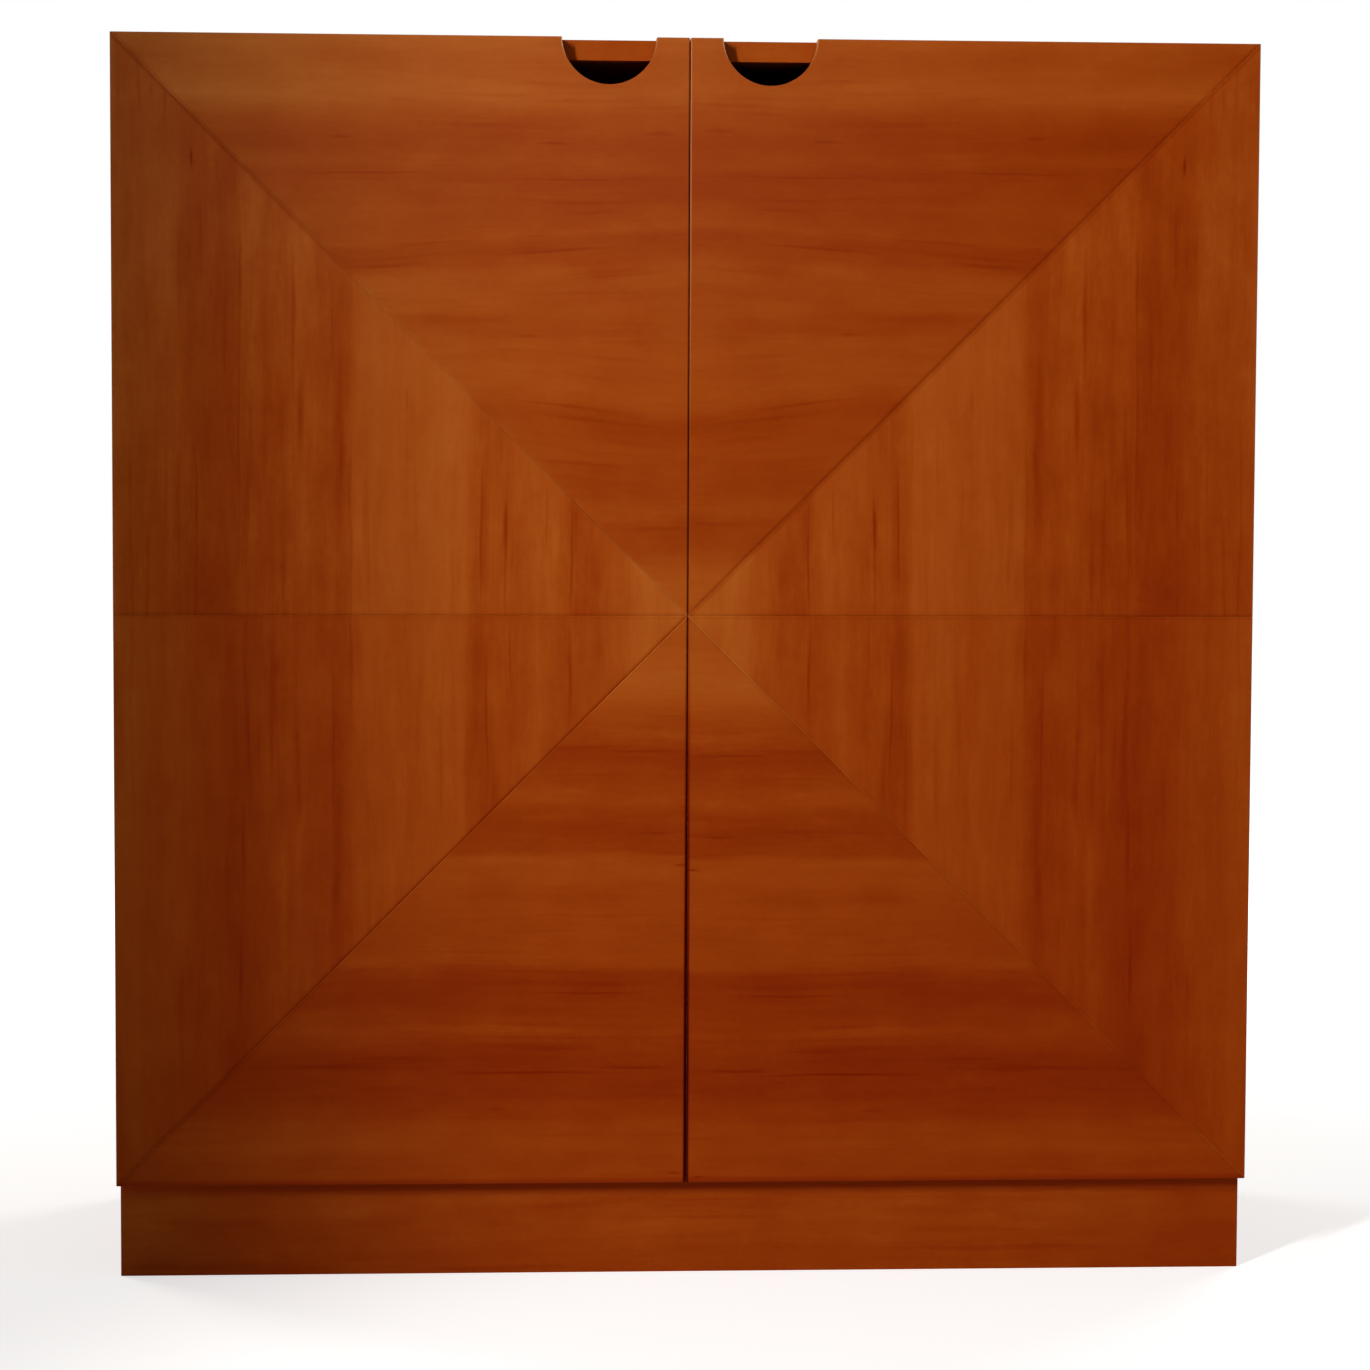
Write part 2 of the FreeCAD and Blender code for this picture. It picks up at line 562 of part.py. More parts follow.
def leaf_outlines():
    """Veneer leaves of the left door as (u, z) outlines: the joints run to the middle of the pair."""
    mid_z = BASE_Z + DOOR_HEIGHT / 2
    reach = DOOR_HEIGHT / 2 * DOOR_WIDTH / SIDE_X
    inner = DOOR_WIDTH
    high = TOP_Z - reach
    low = BASE_Z + reach
    return {
        "top_leaf": [(0, TOP_Z), (inner, TOP_Z), (inner, high)],
        "upper_leaf": [(0, TOP_Z), (inner, high), (inner, mid_z), (0, mid_z)],
        "lower_leaf": [(0, mid_z), (inner, mid_z), (inner, low), (0, BASE_Z)],
        "bottom_leaf": [(0, BASE_Z), (inner, low), (inner, BASE_Z)],
    }


def on_outline(start, end):
    """True for the door's outer, top and bottom edges, which get the smaller chamfer."""
    outer = all(abs(point.x + SIDE_X) < TINY for point in (start, end))
    level = any(all(abs(point.z - z) < TINY for point in (start, end)) for z in (BASE_Z, TOP_Z))
    return outer or level


def pull_bevel():
    """Chamfer round the face edge of the pull."""
    face = at(PULL_U, FACE_V, PULL_Z)
    return Part.makeCone(PULL_RADIUS + LEAF_ARRIS, PULL_RADIUS, LEAF_ARRIS, face, BACKWARD)


def veneer_leaf(outline):
    """Leaf with a chamfer along each face edge, so neighbours leave a V-groove between them."""
    leaf = prism([at(u, CORE_V1, z) for u, z in outline], FORWARD * VENEER)
    corners = [at(u, FACE_V, z) for u, z in outline]
    middle = V()
    for corner in corners:
        middle += corner * (1 / len(corners))
    cuts = [pull_cylinder(PULL_RADIUS), pull_bevel()]
    for first, last in zip(corners, corners[1:] + corners[:1]):
        size = LEAF_ARRIS if on_outline(first, last) else JOINT_ARRIS
        along = (last - first).normalize()
        inwards = FORWARD.cross(along)
        if inwards.dot(middle - first) < 0:
            inwards = inwards * -1
        length = (last - first).Length + 2 * size
        cuts.append(edge_wedge(first - along * size, inwards, BACKWARD, along * length, size))
    return leaf.cut(cuts)


def back_veneer():
    sheet = slab(0, DOOR_WIDTH, DOOR_TO_CARCASS, CORE_V0, BASE_Z, TOP_Z)
    return sheet.cut([pull_cylinder(PULL_RADIUS), swing_wedge()] + cup_holes())


def bumpers():
    x = -BUMPER_FROM_MIDDLE
    heights = (BASE_Z + BOARD / 2, ROOF_Z - BOARD / 2)
    length = DOOR_TO_CARCASS - BUMPER_GAP
    return [rod(V(x, DOOR_BACK_Y, z), BACKWARD, BUMPER_RADIUS, length) for z in heights]


# Carcass boards
def left_side():
    foot = [V(-SIDE_X, CARCASS_Y, BASE_Z), V(-INSIDE_X, CARCASS_Y, BASE_Z)]
    head = [V(-INSIDE_X, CARCASS_Y, CEILING_Z), V(-SIDE_X, CARCASS_Y, ROOF_Z)]
    board = prism(foot + head, BACKWARD * (REAR_Y - CARCASS_Y))
    rebate = block(-INSIDE_X - REBATE, -INSIDE_X, BACK_Y, REAR_Y, BASE_Z, CEILING_Z + REBATE)
    cuts = [rebate, left_tongue(GLUE_GAP)] + top_edge_wedges() + BACK_SCREW_HOLES
    cuts += support_holes(-INSIDE_X, LEFT) + dowel_holes(LEFT_JOINTS)
    cuts += [screw_hole(point, LEFT, *PLATE_SCREW_SIZE) for point in PLATE_SCREW_POINTS]
    for y, inwards in ((CARCASS_Y, BACKWARD), (REAR_Y, FORWARD)):
        cuts.append(edge_wedge(V(-SIDE_X, y, BASE_Z), RIGHT, inwards, UP * (ROOF_Z - BASE_Z)))
    return board.cut(cuts)


def top_edge_wedges():
    """Easing along the outer top edges, shared by the sides and the top."""
    depth = REAR_Y - CARCASS_Y
    return [
        edge_wedge(V(-SIDE_X, CARCASS_Y, ROOF_Z), RIGHT, DOWN, BACKWARD * depth),
        edge_wedge(V(SIDE_X, CARCASS_Y, ROOF_Z), LEFT, DOWN, BACKWARD * depth),
        edge_wedge(V(-SIDE_X, CARCASS_Y, ROOF_Z), BACKWARD, DOWN, RIGHT * WIDTH),
        edge_wedge(V(-SIDE_X, REAR_Y, ROOF_Z), FORWARD, DOWN, RIGHT * WIDTH),
    ]


def top_panel():
    outline = [(-SIDE_X, ROOF_Z), (SIDE_X, ROOF_Z), (INSIDE_X, CEILING_Z), (-INSIDE_X, CEILING_Z)]
    board = prism([V(x, CARCASS_Y, z) for x, z in outline], BACKWARD * (REAR_Y - CARCASS_Y))
    edge_x = INSIDE_X + REBATE
    rebate = block(-edge_x, edge_x, BACK_Y, REAR_Y, CEILING_Z, CEILING_Z + REBATE)
    tongue = left_tongue(GLUE_GAP)
    holes = dowel_holes(HEAD_JOINTS) + BACK_SCREW_HOLES
    return board.cut([rebate, tongue, other_side(tongue)] + top_edge_wedges() + holes)


def bottom_panel():
    board = block(-INSIDE_X, INSIDE_X, CARCASS_Y, BACK_Y, BASE_Z, FLOOR_Z)
    holes = dowel_holes(LEFT_JOINTS + RIGHT_JOINTS + FOOT_JOINTS) + BACK_SCREW_HOLES
    return board.cut(holes + [screw_hole(point, UP, *PLINTH_SCREW_SIZE) for point in PLINTH_SCREW_POINTS])


def centre_partition():
    board = block(-PARTITION_X, PARTITION_X, CARCASS_Y, BACK_Y, FLOOR_Z, CEILING_Z)
    cuts = dowel_holes(FOOT_JOINTS + HEAD_JOINTS) + BACK_SCREW_HOLES
    cuts += support_holes(-PARTITION_X, RIGHT) + support_holes(PARTITION_X, LEFT)
    left_catch = [screw_hole(point, RIGHT, *CATCH_SCREW_SIZE) for point in CATCH_SCREW_POINTS]
    return board.cut(cuts + left_catch + [other_side(hole) for hole in left_catch])


def back_panel():
    board = block(-BACK_EDGE_X, BACK_EDGE_X, BACK_Y, BACK_Y + BACK_BOARD, BACK_LOW_Z, BACK_TOP_Z)
    return board.cut(BACK_SCREW_HOLES)


# Left bay: shelves and supports
def left_shelf(underside):
    board = block(
        -INSIDE_X + SHELF_END_GAP, -PARTITION_X - SHELF_END_GAP,
        SHELF_FRONT_Y, SHELF_REAR_Y, underside, underside + SHELF_BOARD,
    )
    front = [e for e in board.Edges if all(abs(v.Y - SHELF_FRONT_Y) < TINY for v in e.Vertexes)]
    return board.makeChamfer(EASE, front)


def shelf_support(wall_x, y, underside, outwards):
    """Shank in the board, upright plate against it and a tab under the shelf."""
    half = SUPPORT_WIDTH / 2
    plate_end = wall_x + outwards.x * SUPPORT_PLATE
    tab_end = wall_x + outwards.x * SUPPORT_REACH
    plate_low = underside - SUPPORT_HEIGHT
    tab_low = underside - SUPPORT_TAB
    plate = block(min(wall_x, plate_end), max(wall_x, plate_end), y - half, y + half, plate_low, underside)
    tab = block(min(wall_x, tab_end), max(wall_x, tab_end), y - half, y + half, tab_low, underside)
    shank_start = V(plate_end, y, underside - SHANK_DROP)
    shank = rod(shank_start, outwards * -1, SUPPORT_SHANK, SUPPORT_DEPTH + SUPPORT_PLATE)
    return plate.fuse([tab, shank]).removeSplitter()


def left_supports():
    walls = ((-INSIDE_X, RIGHT), (-PARTITION_X, LEFT))
    return [
        shelf_support(x, y, underside, outwards)
        for underside in SHELF_UNDERSIDES for y in SUPPORT_YS for x, outwards in walls
    ]


# Plinth
PLINTH_X = SIDE_X - PLINTH_REVEAL
PLINTH_FRONT_Y = CARCASS_Y + PLINTH_REVEAL
PLINTH_REAR_Y = REAR_Y - PLINTH_REVEAL
PLINTH_INNER_X = PLINTH_X - PLINTH_BOARD
PLINTH_INNER_YS = (PLINTH_FRONT_Y + PLINTH_BOARD, PLINTH_REAR_Y - PLINTH_BOARD)
BLOCK_LOW_Z = BASE_Z - CORNER_BLOCK_HEIGHT
PLINTH_SCREW_SIZE = (PLINTH_SCREW_HEAD, PLINTH_SCREW_SHANK, CORNER_BLOCK_HEIGHT + PLINTH_SCREW_BITE)
PLINTH_CORNERS = [(x, y) for x in (-1, 1) for y in (0, 1)]


def corner_point(x_side, y_end):
    inwards = CORNER_BLOCK / 2
    y = PLINTH_INNER_YS[y_end] + (inwards if y_end == 0 else -inwards)
    return V(x_side * (PLINTH_INNER_X - inwards), y, BLOCK_LOW_Z)


PLINTH_SCREW_POINTS = [corner_point(x, y) for x, y in PLINTH_CORNERS]


def plinth_rail(corners):
    rail = prism([V(x, y, 0) for x, y in corners], UP * PLINTH_HEIGHT)
    wedges = []
    for x, towards_x in ((-PLINTH_X, RIGHT), (PLINTH_X, LEFT)):
        for y, towards_y in ((PLINTH_FRONT_Y, BACKWARD), (PLINTH_REAR_Y, FORWARD)):
            wedges.append(edge_wedge(V(x, y, 0), towards_x, towards_y, UP * PLINTH_HEIGHT))
    return rail.cut(wedges)


def long_rail(outer_y, inner_y):
    outer = [(-PLINTH_X, outer_y), (PLINTH_X, outer_y)]
    return plinth_rail(outer + [(PLINTH_INNER_X, inner_y), (-PLINTH_INNER_X, inner_y)])


def left_rail():
    outer = [(-PLINTH_X, PLINTH_FRONT_Y), (-PLINTH_X, PLINTH_REAR_Y)]
    return plinth_rail(outer + [(-PLINTH_INNER_X, y) for y in reversed(PLINTH_INNER_YS)])


def cross_rail():
    half = PLINTH_BOARD / 2
    return block(-half, half, *PLINTH_INNER_YS, CROSS_RAIL_LIFT, BASE_Z)


def corner_block(point):
    half = CORNER_BLOCK / 2
    cube = block(point.x - half, point.x + half, point.y - half, point.y + half, point.z, BASE_Z)
    return cube.cut(screw_hole(point, UP, *PLINTH_SCREW_SIZE))


# The pieces under their names
pieces = {
    "left_side": [left_side()],
    "right_side": [other_side(left_side())],
    "top_panel": [top_panel()],
    "bottom_panel": [bottom_panel()],
    "centre_partition": [centre_partition()],
    "back_panel": [back_panel()],
    "back_panel_screws": [screw(point, FORWARD, *BACK_SCREW_SIZE) for point in BACK_SCREW_PLACES],
    "mitre_tongues": [left_tongue(0), other_side(left_tongue(0))],
    "carcass_dowels": dowels(LEFT_JOINTS + RIGHT_JOINTS + FOOT_JOINTS + HEAD_JOINTS),
    "plinth_front": [long_rail(PLINTH_FRONT_Y, PLINTH_INNER_YS[0])],
    "plinth_back": [long_rail(PLINTH_REAR_Y, PLINTH_INNER_YS[1])],
    "plinth_left": [left_rail()],
    "plinth_right": [other_side(left_rail())],
    "plinth_cross_rail": [cross_rail()],
    "plinth_corner_blocks": [corner_block(point) for point in PLINTH_SCREW_POINTS],
    "plinth_screws": [screw(point, UP, *PLINTH_SCREW_SIZE) for point in PLINTH_SCREW_POINTS],
    "catch_bodies": [catch_body(), other_side(catch_body())],
    "catch_magnets": [magnet(0), other_side(magnet(0))],
}
catch_screws = [screw(point, RIGHT, *CATCH_SCREW_SIZE) for point in CATCH_SCREW_POINTS]
pieces["catch_screws"] = catch_screws + [other_side(solid) for solid in catch_screws]

# Pieces made for the left and mirrored to the right
left_pieces = {
    "shelf_supports": left_supports(),
    "hinge_plates": [hinge_plate(z) for z in HINGE_ZS],
    "hinge_plate_screws": [screw(point, LEFT, *PLATE_SCREW_SIZE) for point in PLATE_SCREW_POINTS],
    "hinge_arms": [hinge_arm(z) for z in HINGE_ZS],
    "hinge_arm_screws": [solid for z in HINGE_ZS for solid in arm_screws(z)],
    "door_core": [door_core()],
    "door_edging": door_edging(),
    "door_back_veneer": [back_veneer()],
    "door_bumpers": bumpers(),
    "hinge_cups": [hinge_cup(z) for z in HINGE_ZS],
    "hinge_pins": [hinge_pin(z) for z in HINGE_ZS],
    "hinge_cup_screws": [screw(point, FORWARD, *CUP_SCREW_SIZE) for point in CUP_SCREW_POINTS],
    "strike_plate": [strike_plate()],
    "strike_screw": [screw(STRIKE_SCREW_POINT, FORWARD, *STRIKE_SCREW_SIZE)],
}
for number, underside in enumerate(SHELF_UNDERSIDES, 1):
    left_pieces["shelf_%d" % number] = [left_shelf(underside)]
for leaf_name, outline in leaf_outlines().items():
    left_pieces["door_" + leaf_name] = [veneer_leaf(outline)]

for name, shapes in left_pieces.items():
    pieces["left_" + name] = shapes
    pieces["right_" + name] = [other_side(shape) for shape in shapes]

os.makedirs("parts", exist_ok=True)
for name, shapes in pieces.items():
    solids = [solid for shape in shapes for solid in shape.Solids]
    node = solids[0] if len(solids) == 1 else Part.makeCompound(solids)
    node.exportStep("parts/%s.step" % name)
print("pieces", len(pieces))
print("opening clearance of the door's back edge", round(
    PIVOT_V - math.hypot(PIVOT_IN - SWING_CHAMFER, PIVOT_DEPTH), 3))
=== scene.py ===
import math
from collections import namedtuple

import bmesh
import bpy
from mathutils import Matrix, Vector


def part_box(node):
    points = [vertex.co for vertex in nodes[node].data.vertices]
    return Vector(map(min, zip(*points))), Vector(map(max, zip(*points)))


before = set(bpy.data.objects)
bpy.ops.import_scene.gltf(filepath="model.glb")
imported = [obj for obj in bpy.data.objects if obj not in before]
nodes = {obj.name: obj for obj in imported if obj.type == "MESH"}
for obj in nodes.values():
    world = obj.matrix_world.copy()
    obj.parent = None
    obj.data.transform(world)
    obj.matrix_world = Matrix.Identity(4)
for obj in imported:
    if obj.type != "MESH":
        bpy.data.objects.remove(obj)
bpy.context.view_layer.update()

# Tall two-door veneered cabinet: materials, floor, light and camera.
# Metres, in the frame of the solids: +Z is up and the doors face -Y.

X_AXIS, Y_AXIS, Z_AXIS = 0, 1, 2

# Limits of the doors, read from the solids
EDGING_LOW, EDGING_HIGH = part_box("left_door_edging")
BASE_Z = EDGING_LOW.z
TOP_Z = EDGING_HIGH.z
MID_Z = (BASE_Z + TOP_Z) / 2
HALF_HEIGHT = (TOP_Z - BASE_Z) / 2
HALF_WIDTH = -EDGING_LOW.x
MEETING_X = -EDGING_HIGH.x

# Finger pulls, as in the part's source
PULL_X = 0.080               # from the middle of the pair
PULL_RISE = 0.0005           # centre of the half-round above the doors' top edge
PULL_Z = TOP_Z + PULL_RISE
PULL_RADIUS = 0.047


def linear(red, green, blue):
    """Screen colour from 0 to 255 as a linear colour, by the sRGB formula."""
    made = []
    for part in (red, green, blue):
        c = part / 255
        made.append(c / 12.92 if c <= 0.04045 else ((c + 0.055) / 1.055) ** 2.4)
    return (*made, 1.0)


# Colours
WHITE = (1.0, 1.0, 1.0, 1.0)
VENEER = linear(153, 68, 15)
EDGING = linear(184, 114, 62)
EDGE_WEAR = linear(214, 176, 138)
# Colour of the painted highlight on the meeting edges' arrises
MEETING_HIGHLIGHT_COLOUR = linear(206, 132, 88)
# Redder, brighter colour painted into the doors' shadow on the plinth
SHADOW_RED = linear(166, 54, 6)
# Grey of the painted sheen, the lacquer's reflection at the upper left
SHEEN_GREY = linear(188, 188, 188)
PLYWOOD = linear(158, 98, 58)
BEECH = linear(196, 150, 104)
CHIPBOARD = linear(176, 138, 96)
NICKEL = linear(205, 200, 192)
ZINC = linear(186, 186, 184)
STEEL = linear(176, 176, 174)
CATCH_BROWN = linear(74, 44, 26)
FERRITE = linear(52, 50, 50)
RUBBER = linear(196, 190, 178)
FLOOR = linear(206, 204, 200)

# Wood tones: the power that the veneer colour is raised to, so a deeper tone is also a redder one
STRAW = 0.90
PALE = 0.94
GOLD = 0.97
HONEY = 1.02
LIGHT = 1.06
SOFT = 1.085
MID = 1.11
WARM = 1.15
RUSSET = 1.175
RED = 1.20
DEEP = 1.24
DARK = 1.27

# Bands of the veneer, in metres from the doors' outer, top or bottom edge to the middle of the front
UPPER_BANDS = [
    (0.000, HONEY), (0.012, MID), (0.055, MID), (0.074, RED), (0.092, DEEP), (0.120, DEEP),
    (0.127, WARM), (0.172, WARM), (0.190, MID), (0.206, WARM), (0.228, WARM), (0.238, HONEY),
    (0.290, HONEY), (0.348, GOLD), (0.358, MID), (0.368, MID), (0.374, LIGHT), (0.388, SOFT),
    (0.398, LIGHT), (0.422, LIGHT), (0.430, HONEY), (0.444, LIGHT), (0.452, WARM), (0.480, MID),
    (0.502, HONEY), (0.526, STRAW), (0.570, STRAW),
]
LOWER_BANDS = [
    (0.000, HONEY), (0.022, HONEY), (0.034, SOFT), (0.066, MID), (0.082, RUSSET), (0.100, RED),
    (0.120, DARK), (0.128, DEEP), (0.146, RED), (0.164, WARM), (0.190, RUSSET), (0.218, RED),
    (0.229, RUSSET), (0.236, SOFT), (0.246, LIGHT), (0.274, LIGHT), (0.292, LIGHT), (0.344, HONEY),
    (0.357, WARM), (0.370, WARM), (0.382, MID), (0.408, MID), (0.420, LIGHT), (0.442, MID),
    (0.450, WARM), (0.468, MID), (0.490, LIGHT), (0.504, HONEY), (0.528, STRAW), (0.570, STRAW),
]
TOP_BANDS = [
    (0.000, HONEY), (0.024, SOFT), (0.040, LIGHT), (0.056, HONEY), (0.068, SOFT), (0.080, RUSSET),
    (0.098, DEEP), (0.114, DEEP), (0.126, RED), (0.140, DEEP), (0.162, DEEP), (0.176, RED),
    (0.196, WARM), (0.204, DEEP), (0.222, RED), (0.232, MID), (0.265, MID), (0.282, WARM),
    (0.297, MID), (0.322, SOFT), (0.340, LIGHT), (0.360, MID), (0.372, RUSSET), (0.388, RED),
    (0.402, WARM), (0.446, RUSSET), (0.466, MID), (0.484, RED), (0.506, WARM), (0.524, HONEY),
    (0.538, GOLD), (0.570, GOLD),
]
BOTTOM_BANDS = [
    (0.000, LIGHT), (0.026, SOFT), (0.038, HONEY), (0.054, LIGHT), (0.072, RUSSET), (0.092, DEEP),
    (0.114, DARK), (0.130, DARK), (0.142, RED), (0.154, WARM), (0.170, RED), (0.182, DEEP),
    (0.212, DEEP), (0.221, MID), (0.232, SOFT), (0.266, MID), (0.279, SOFT), (0.294, MID),
    (0.312, LIGHT), (0.330, LIGHT), (0.338, RUSSET), (0.360, RED), (0.376, RED), (0.388, MID),
    (0.402, WARM), (0.438, DEEP), (0.450, WARM), (0.466, MID), (0.482, HONEY), (0.508, PALE),
    (0.542, GOLD), (0.570, GOLD),
]

# Single lines and flecks of the veneer: place across and along the grain, half thickness and half length
# in metres, and how much deeper in tone, or paler under 0; along the grain is from the level joint or from
# the middle of the pair
UPPER_MARKS = [
    (0.079, 0.450, 0.0026, 0.014, 0.34), (0.087, 0.375, 0.0026, 0.060, 0.08),
    (0.124, 0.170, 0.0022, 0.180, 0.12), (0.124, 0.330, 0.0026, 0.060, 0.12),
    (0.150, 0.170, 0.0060, 0.070, 0.08), (0.177, 0.300, 0.0036, 0.100, 0.16),
    (0.184, 0.200, 0.0046, 0.055, 0.18), (0.168, 0.050, 0.0036, 0.060, 0.10),
    (0.221, 0.160, 0.0080, 0.200, 0.09), (0.225, 0.150, 0.0056, 0.036, 0.12),
    (0.290, 0.215, 0.0022, 0.022, 0.08), (0.364, 0.085, 0.0026, 0.100, 0.17),
    (0.368, 0.100, 0.0080, 0.120, 0.06), (0.387, 0.088, 0.0032, 0.038, 0.24),
    (0.388, 0.060, 0.0018, 0.100, 0.13), (0.428, 0.100, 0.0018, 0.050, 0.12),
    (0.453, 0.050, 0.0022, 0.080, 0.18), (0.478, 0.040, 0.0100, 0.036, 0.07),
    (0.437, 0.075, 0.0060, 0.030, -0.08),
]
LOWER_MARKS = [
    (0.116, 0.050, 0.0090, 0.060, 0.07), (0.127, 0.230, 0.0024, 0.070, 0.14),
    (0.124, 0.360, 0.0030, 0.062, 0.17), (0.143, 0.130, 0.0022, 0.040, 0.08),
    (0.161, 0.052, 0.0050, 0.015, 0.10), (0.180, 0.120, 0.0040, 0.013, 0.08),
    (0.183, 0.180, 0.0042, 0.026, 0.10), (0.168, 0.290, 0.0070, 0.110, -0.07),
    (0.221, 0.170, 0.0090, 0.220, 0.08), (0.219, 0.275, 0.0066, 0.036, 0.13),
    (0.216, 0.120, 0.0020, 0.130, 0.13), (0.302, 0.070, 0.0030, 0.030, 0.05),
    (0.370, 0.100, 0.0022, 0.100, 0.17), (0.361, 0.090, 0.0090, 0.130, 0.07),
    (0.394, 0.030, 0.0022, 0.026, 0.10), (0.396, 0.120, 0.0080, 0.030, 0.07),
    (0.452, 0.055, 0.0026, 0.066, 0.18), (0.480, 0.030, 0.0100, 0.036, 0.06),
    (0.083, 0.375, 0.0018, 0.014, 0.12),
]
TOP_MARKS = [
    (0.088, 0.200, 0.0060, 0.120, 0.07), (0.102, 0.345, 0.0028, 0.014, 0.15),
    (0.104, 0.135, 0.0028, 0.024, 0.16), (0.096, 0.030, 0.0030, 0.020, 0.10),
    (0.137, 0.330, 0.0018, 0.100, 0.12), (0.141, 0.120, 0.0018, 0.120, 0.11),
    (0.120, 0.260, 0.0050, 0.060, -0.05), (0.213, 0.130, 0.0024, 0.080, 0.15),
    (0.218, 0.300, 0.0030, 0.060, 0.12), (0.176, 0.090, 0.0028, 0.040, 0.08),
    (0.276, 0.220, 0.0080, 0.120, 0.06), (0.293, 0.160, 0.0024, 0.016, 0.13),
    (0.366, 0.120, 0.0026, 0.075, 0.10), (0.377, 0.090, 0.0050, 0.090, 0.04),
    (0.410, 0.060, 0.0024, 0.050, 0.06), (0.430, 0.090, 0.0050, 0.030, 0.05),
    (0.484, 0.030, 0.0030, 0.045, 0.10), (0.250, 0.250, 0.0070, 0.110, -0.05),
]
BOTTOM_MARKS = [
    (0.436, 0.045, 0.0024, 0.055, 0.14), (0.355, 0.030, 0.0026, 0.026, 0.12),
    (0.323, 0.006, 0.0020, 0.010, 0.26), (0.274, 0.100, 0.0034, 0.100, 0.07),
    (0.258, 0.150, 0.0030, 0.060, 0.06), (0.203, 0.120, 0.0060, 0.160, 0.07),
    (0.194, 0.100, 0.0020, 0.100, 0.15), (0.200, 0.320, 0.0100, 0.050, 0.05),
    (0.113, 0.155, 0.0024, 0.115, 0.24), (0.118, 0.055, 0.0024, 0.055, 0.22),
    (0.118, 0.330, 0.0036, 0.100, 0.10), (0.076, 0.190, 0.0030, 0.018, 0.12),
    (0.096, 0.300, 0.0060, 0.050, 0.07), (0.010, 0.012, 0.0022, 0.009, 0.20),
    (0.156, 0.200, 0.0060, 0.140, -0.06),
]

# Slope of the top leaf's grain lines, by the distance from the top edge
TOP_LEAN = [
    (0.150, 0.0), (0.195, 0.065), (0.225, 0.065), (0.285, 0.0),
    (0.350, -0.12), (0.400, -0.12), (0.480, 0.0),
]

# Noise
NOISE_ROUGHNESS = 0.5
NOISE_MEAN = 0.5
NOISE_RANGE = (0.3, 0.7)     # where most of it lies

# Layer of noise in the grain: rates across and along the grain per metre, its own seed, and detail
Layer = namedtuple("Layer", "across_rate along_rate seed detail")

# Sockets of a node that mixes colours
MIX_FACTOR = 0
MIX_FIRST = 6
MIX_SECOND = 7
MIX_RESULT = 2


class Graph:
    """One material's node tree around its Principled shader."""

    def __init__(self, name):
        self.material = bpy.data.materials.new(name)
        self.material.use_nodes = True
        self.tree = self.material.node_tree
        self.shader = self.tree.nodes["Principled BSDF"]
        self.slice = None            # shift of the figure from leaf to leaf, where there is one

    def put(self, socket, source):
        """Link another node's output to a socket, or set the socket's own value."""
        if isinstance(source, bpy.types.NodeSocket):
            self.tree.links.new(source, socket)
        else:
            socket.default_value = source

    def node(self, kind, *sources, **settings):
        """New node, with the sources for its inputs in their order."""
        made = self.tree.nodes.new(kind)
        for key, value in settings.items():
            setattr(made, key, value)
        for socket, source in zip(made.inputs, sources):
            self.put(socket, source)
        return made

    def math(self, operation, *sources):
        return self.node("ShaderNodeMath", *sources, operation=operation).outputs[0]

    def add_scaled(self, total, value, weight):
        return self.math("MULTIPLY_ADD", value, weight, total)

    def step(self, value, low, high, out_low=0.0, out_high=1.0):
        """Soft step from one level to another between two limits of a value."""
        made = self.node("ShaderNodeMapRange", value, low, high, out_low, out_high)
        made.interpolation_type = "SMOOTHSTEP"
        return made.outputs[0]

    def place(self):
        """X, Y and Z of a point, which stay with the piece when it moves."""
        coordinates = self.node("ShaderNodeTexCoord")
        split = self.node("ShaderNodeSeparateXYZ", coordinates.outputs["Object"])
        return split.outputs[0], split.outputs[1], split.outputs[2]

    def noise(self, x, y, z, detail):
        vector = self.node("ShaderNodeCombineXYZ", x, y, z).outputs[0]
        made = self.node("ShaderNodeTexNoise", vector)
        made.inputs["Scale"].default_value = 1.0
        made.inputs["Detail"].default_value = detail
        made.inputs["Roughness"].default_value = NOISE_ROUGHNESS
        return made.outputs[0]

    def streaks(self, across, along, layer, seed):
        """Noise drawn out along the grain."""
        x = self.math("MULTIPLY", across, layer.across_rate)
        y = self.math("MULTIPLY", along, layer.along_rate)
        z = seed + layer.seed
        if self.slice is not None:
            z = self.math("ADD", self.slice, z)
        return self.noise(x, y, z, layer.detail)

    def grit(self, rate, detail, drawn=1.0):
        """Noise all through a piece; a drawn value under 1 stretches it upright."""
        rates = (rate, rate, rate * drawn)
        scaled = [self.math("MULTIPLY", value, factor) for value, factor in zip(self.place(), rates)]
        return self.noise(*scaled, detail)

    def ramp(self, value, stops):
        """Grey level that follows a list of positions and levels, all from 0 to 1."""
        made = self.node("ShaderNodeValToRGB", value)
        elements = made.color_ramp.elements
        while len(elements) > 1:
            elements.remove(elements[-1])
        for number, (position, level) in enumerate(stops):
            element = elements[0] if number == 0 else elements.new(position)
            element.position = position
            element.color = (level, level, level, 1.0)
        return made.outputs[0]

    def mix(self, factor, first, second):
        made = self.node("ShaderNodeMix", data_type="RGBA")
        self.put(made.inputs[MIX_FACTOR], factor)
        self.put(made.inputs[MIX_FIRST], first)
        self.put(made.inputs[MIX_SECOND], second)
        return made.outputs[MIX_RESULT]

    def gamma(self, colour, power):
        return self.node("ShaderNodeGamma", colour, power).outputs[0]

    def bump(self, height, distance, strength):
        made = self.node("ShaderNodeBump")
        made.inputs["Strength"].default_value = strength
        made.inputs["Distance"].default_value = distance
        self.put(made.inputs["Height"], height)
        self.put(self.shader.inputs["Normal"], made.outputs[0])

    def finish(self, colour, roughness, specular=0.5, metallic=0.0):
        self.put(self.shader.inputs["Base Color"], colour)
        self.put(self.shader.inputs["Roughness"], roughness)
        self.shader.inputs["Specular IOR Level"].default_value = specular
        self.shader.inputs["Metallic"].default_value = metallic
        return self.material


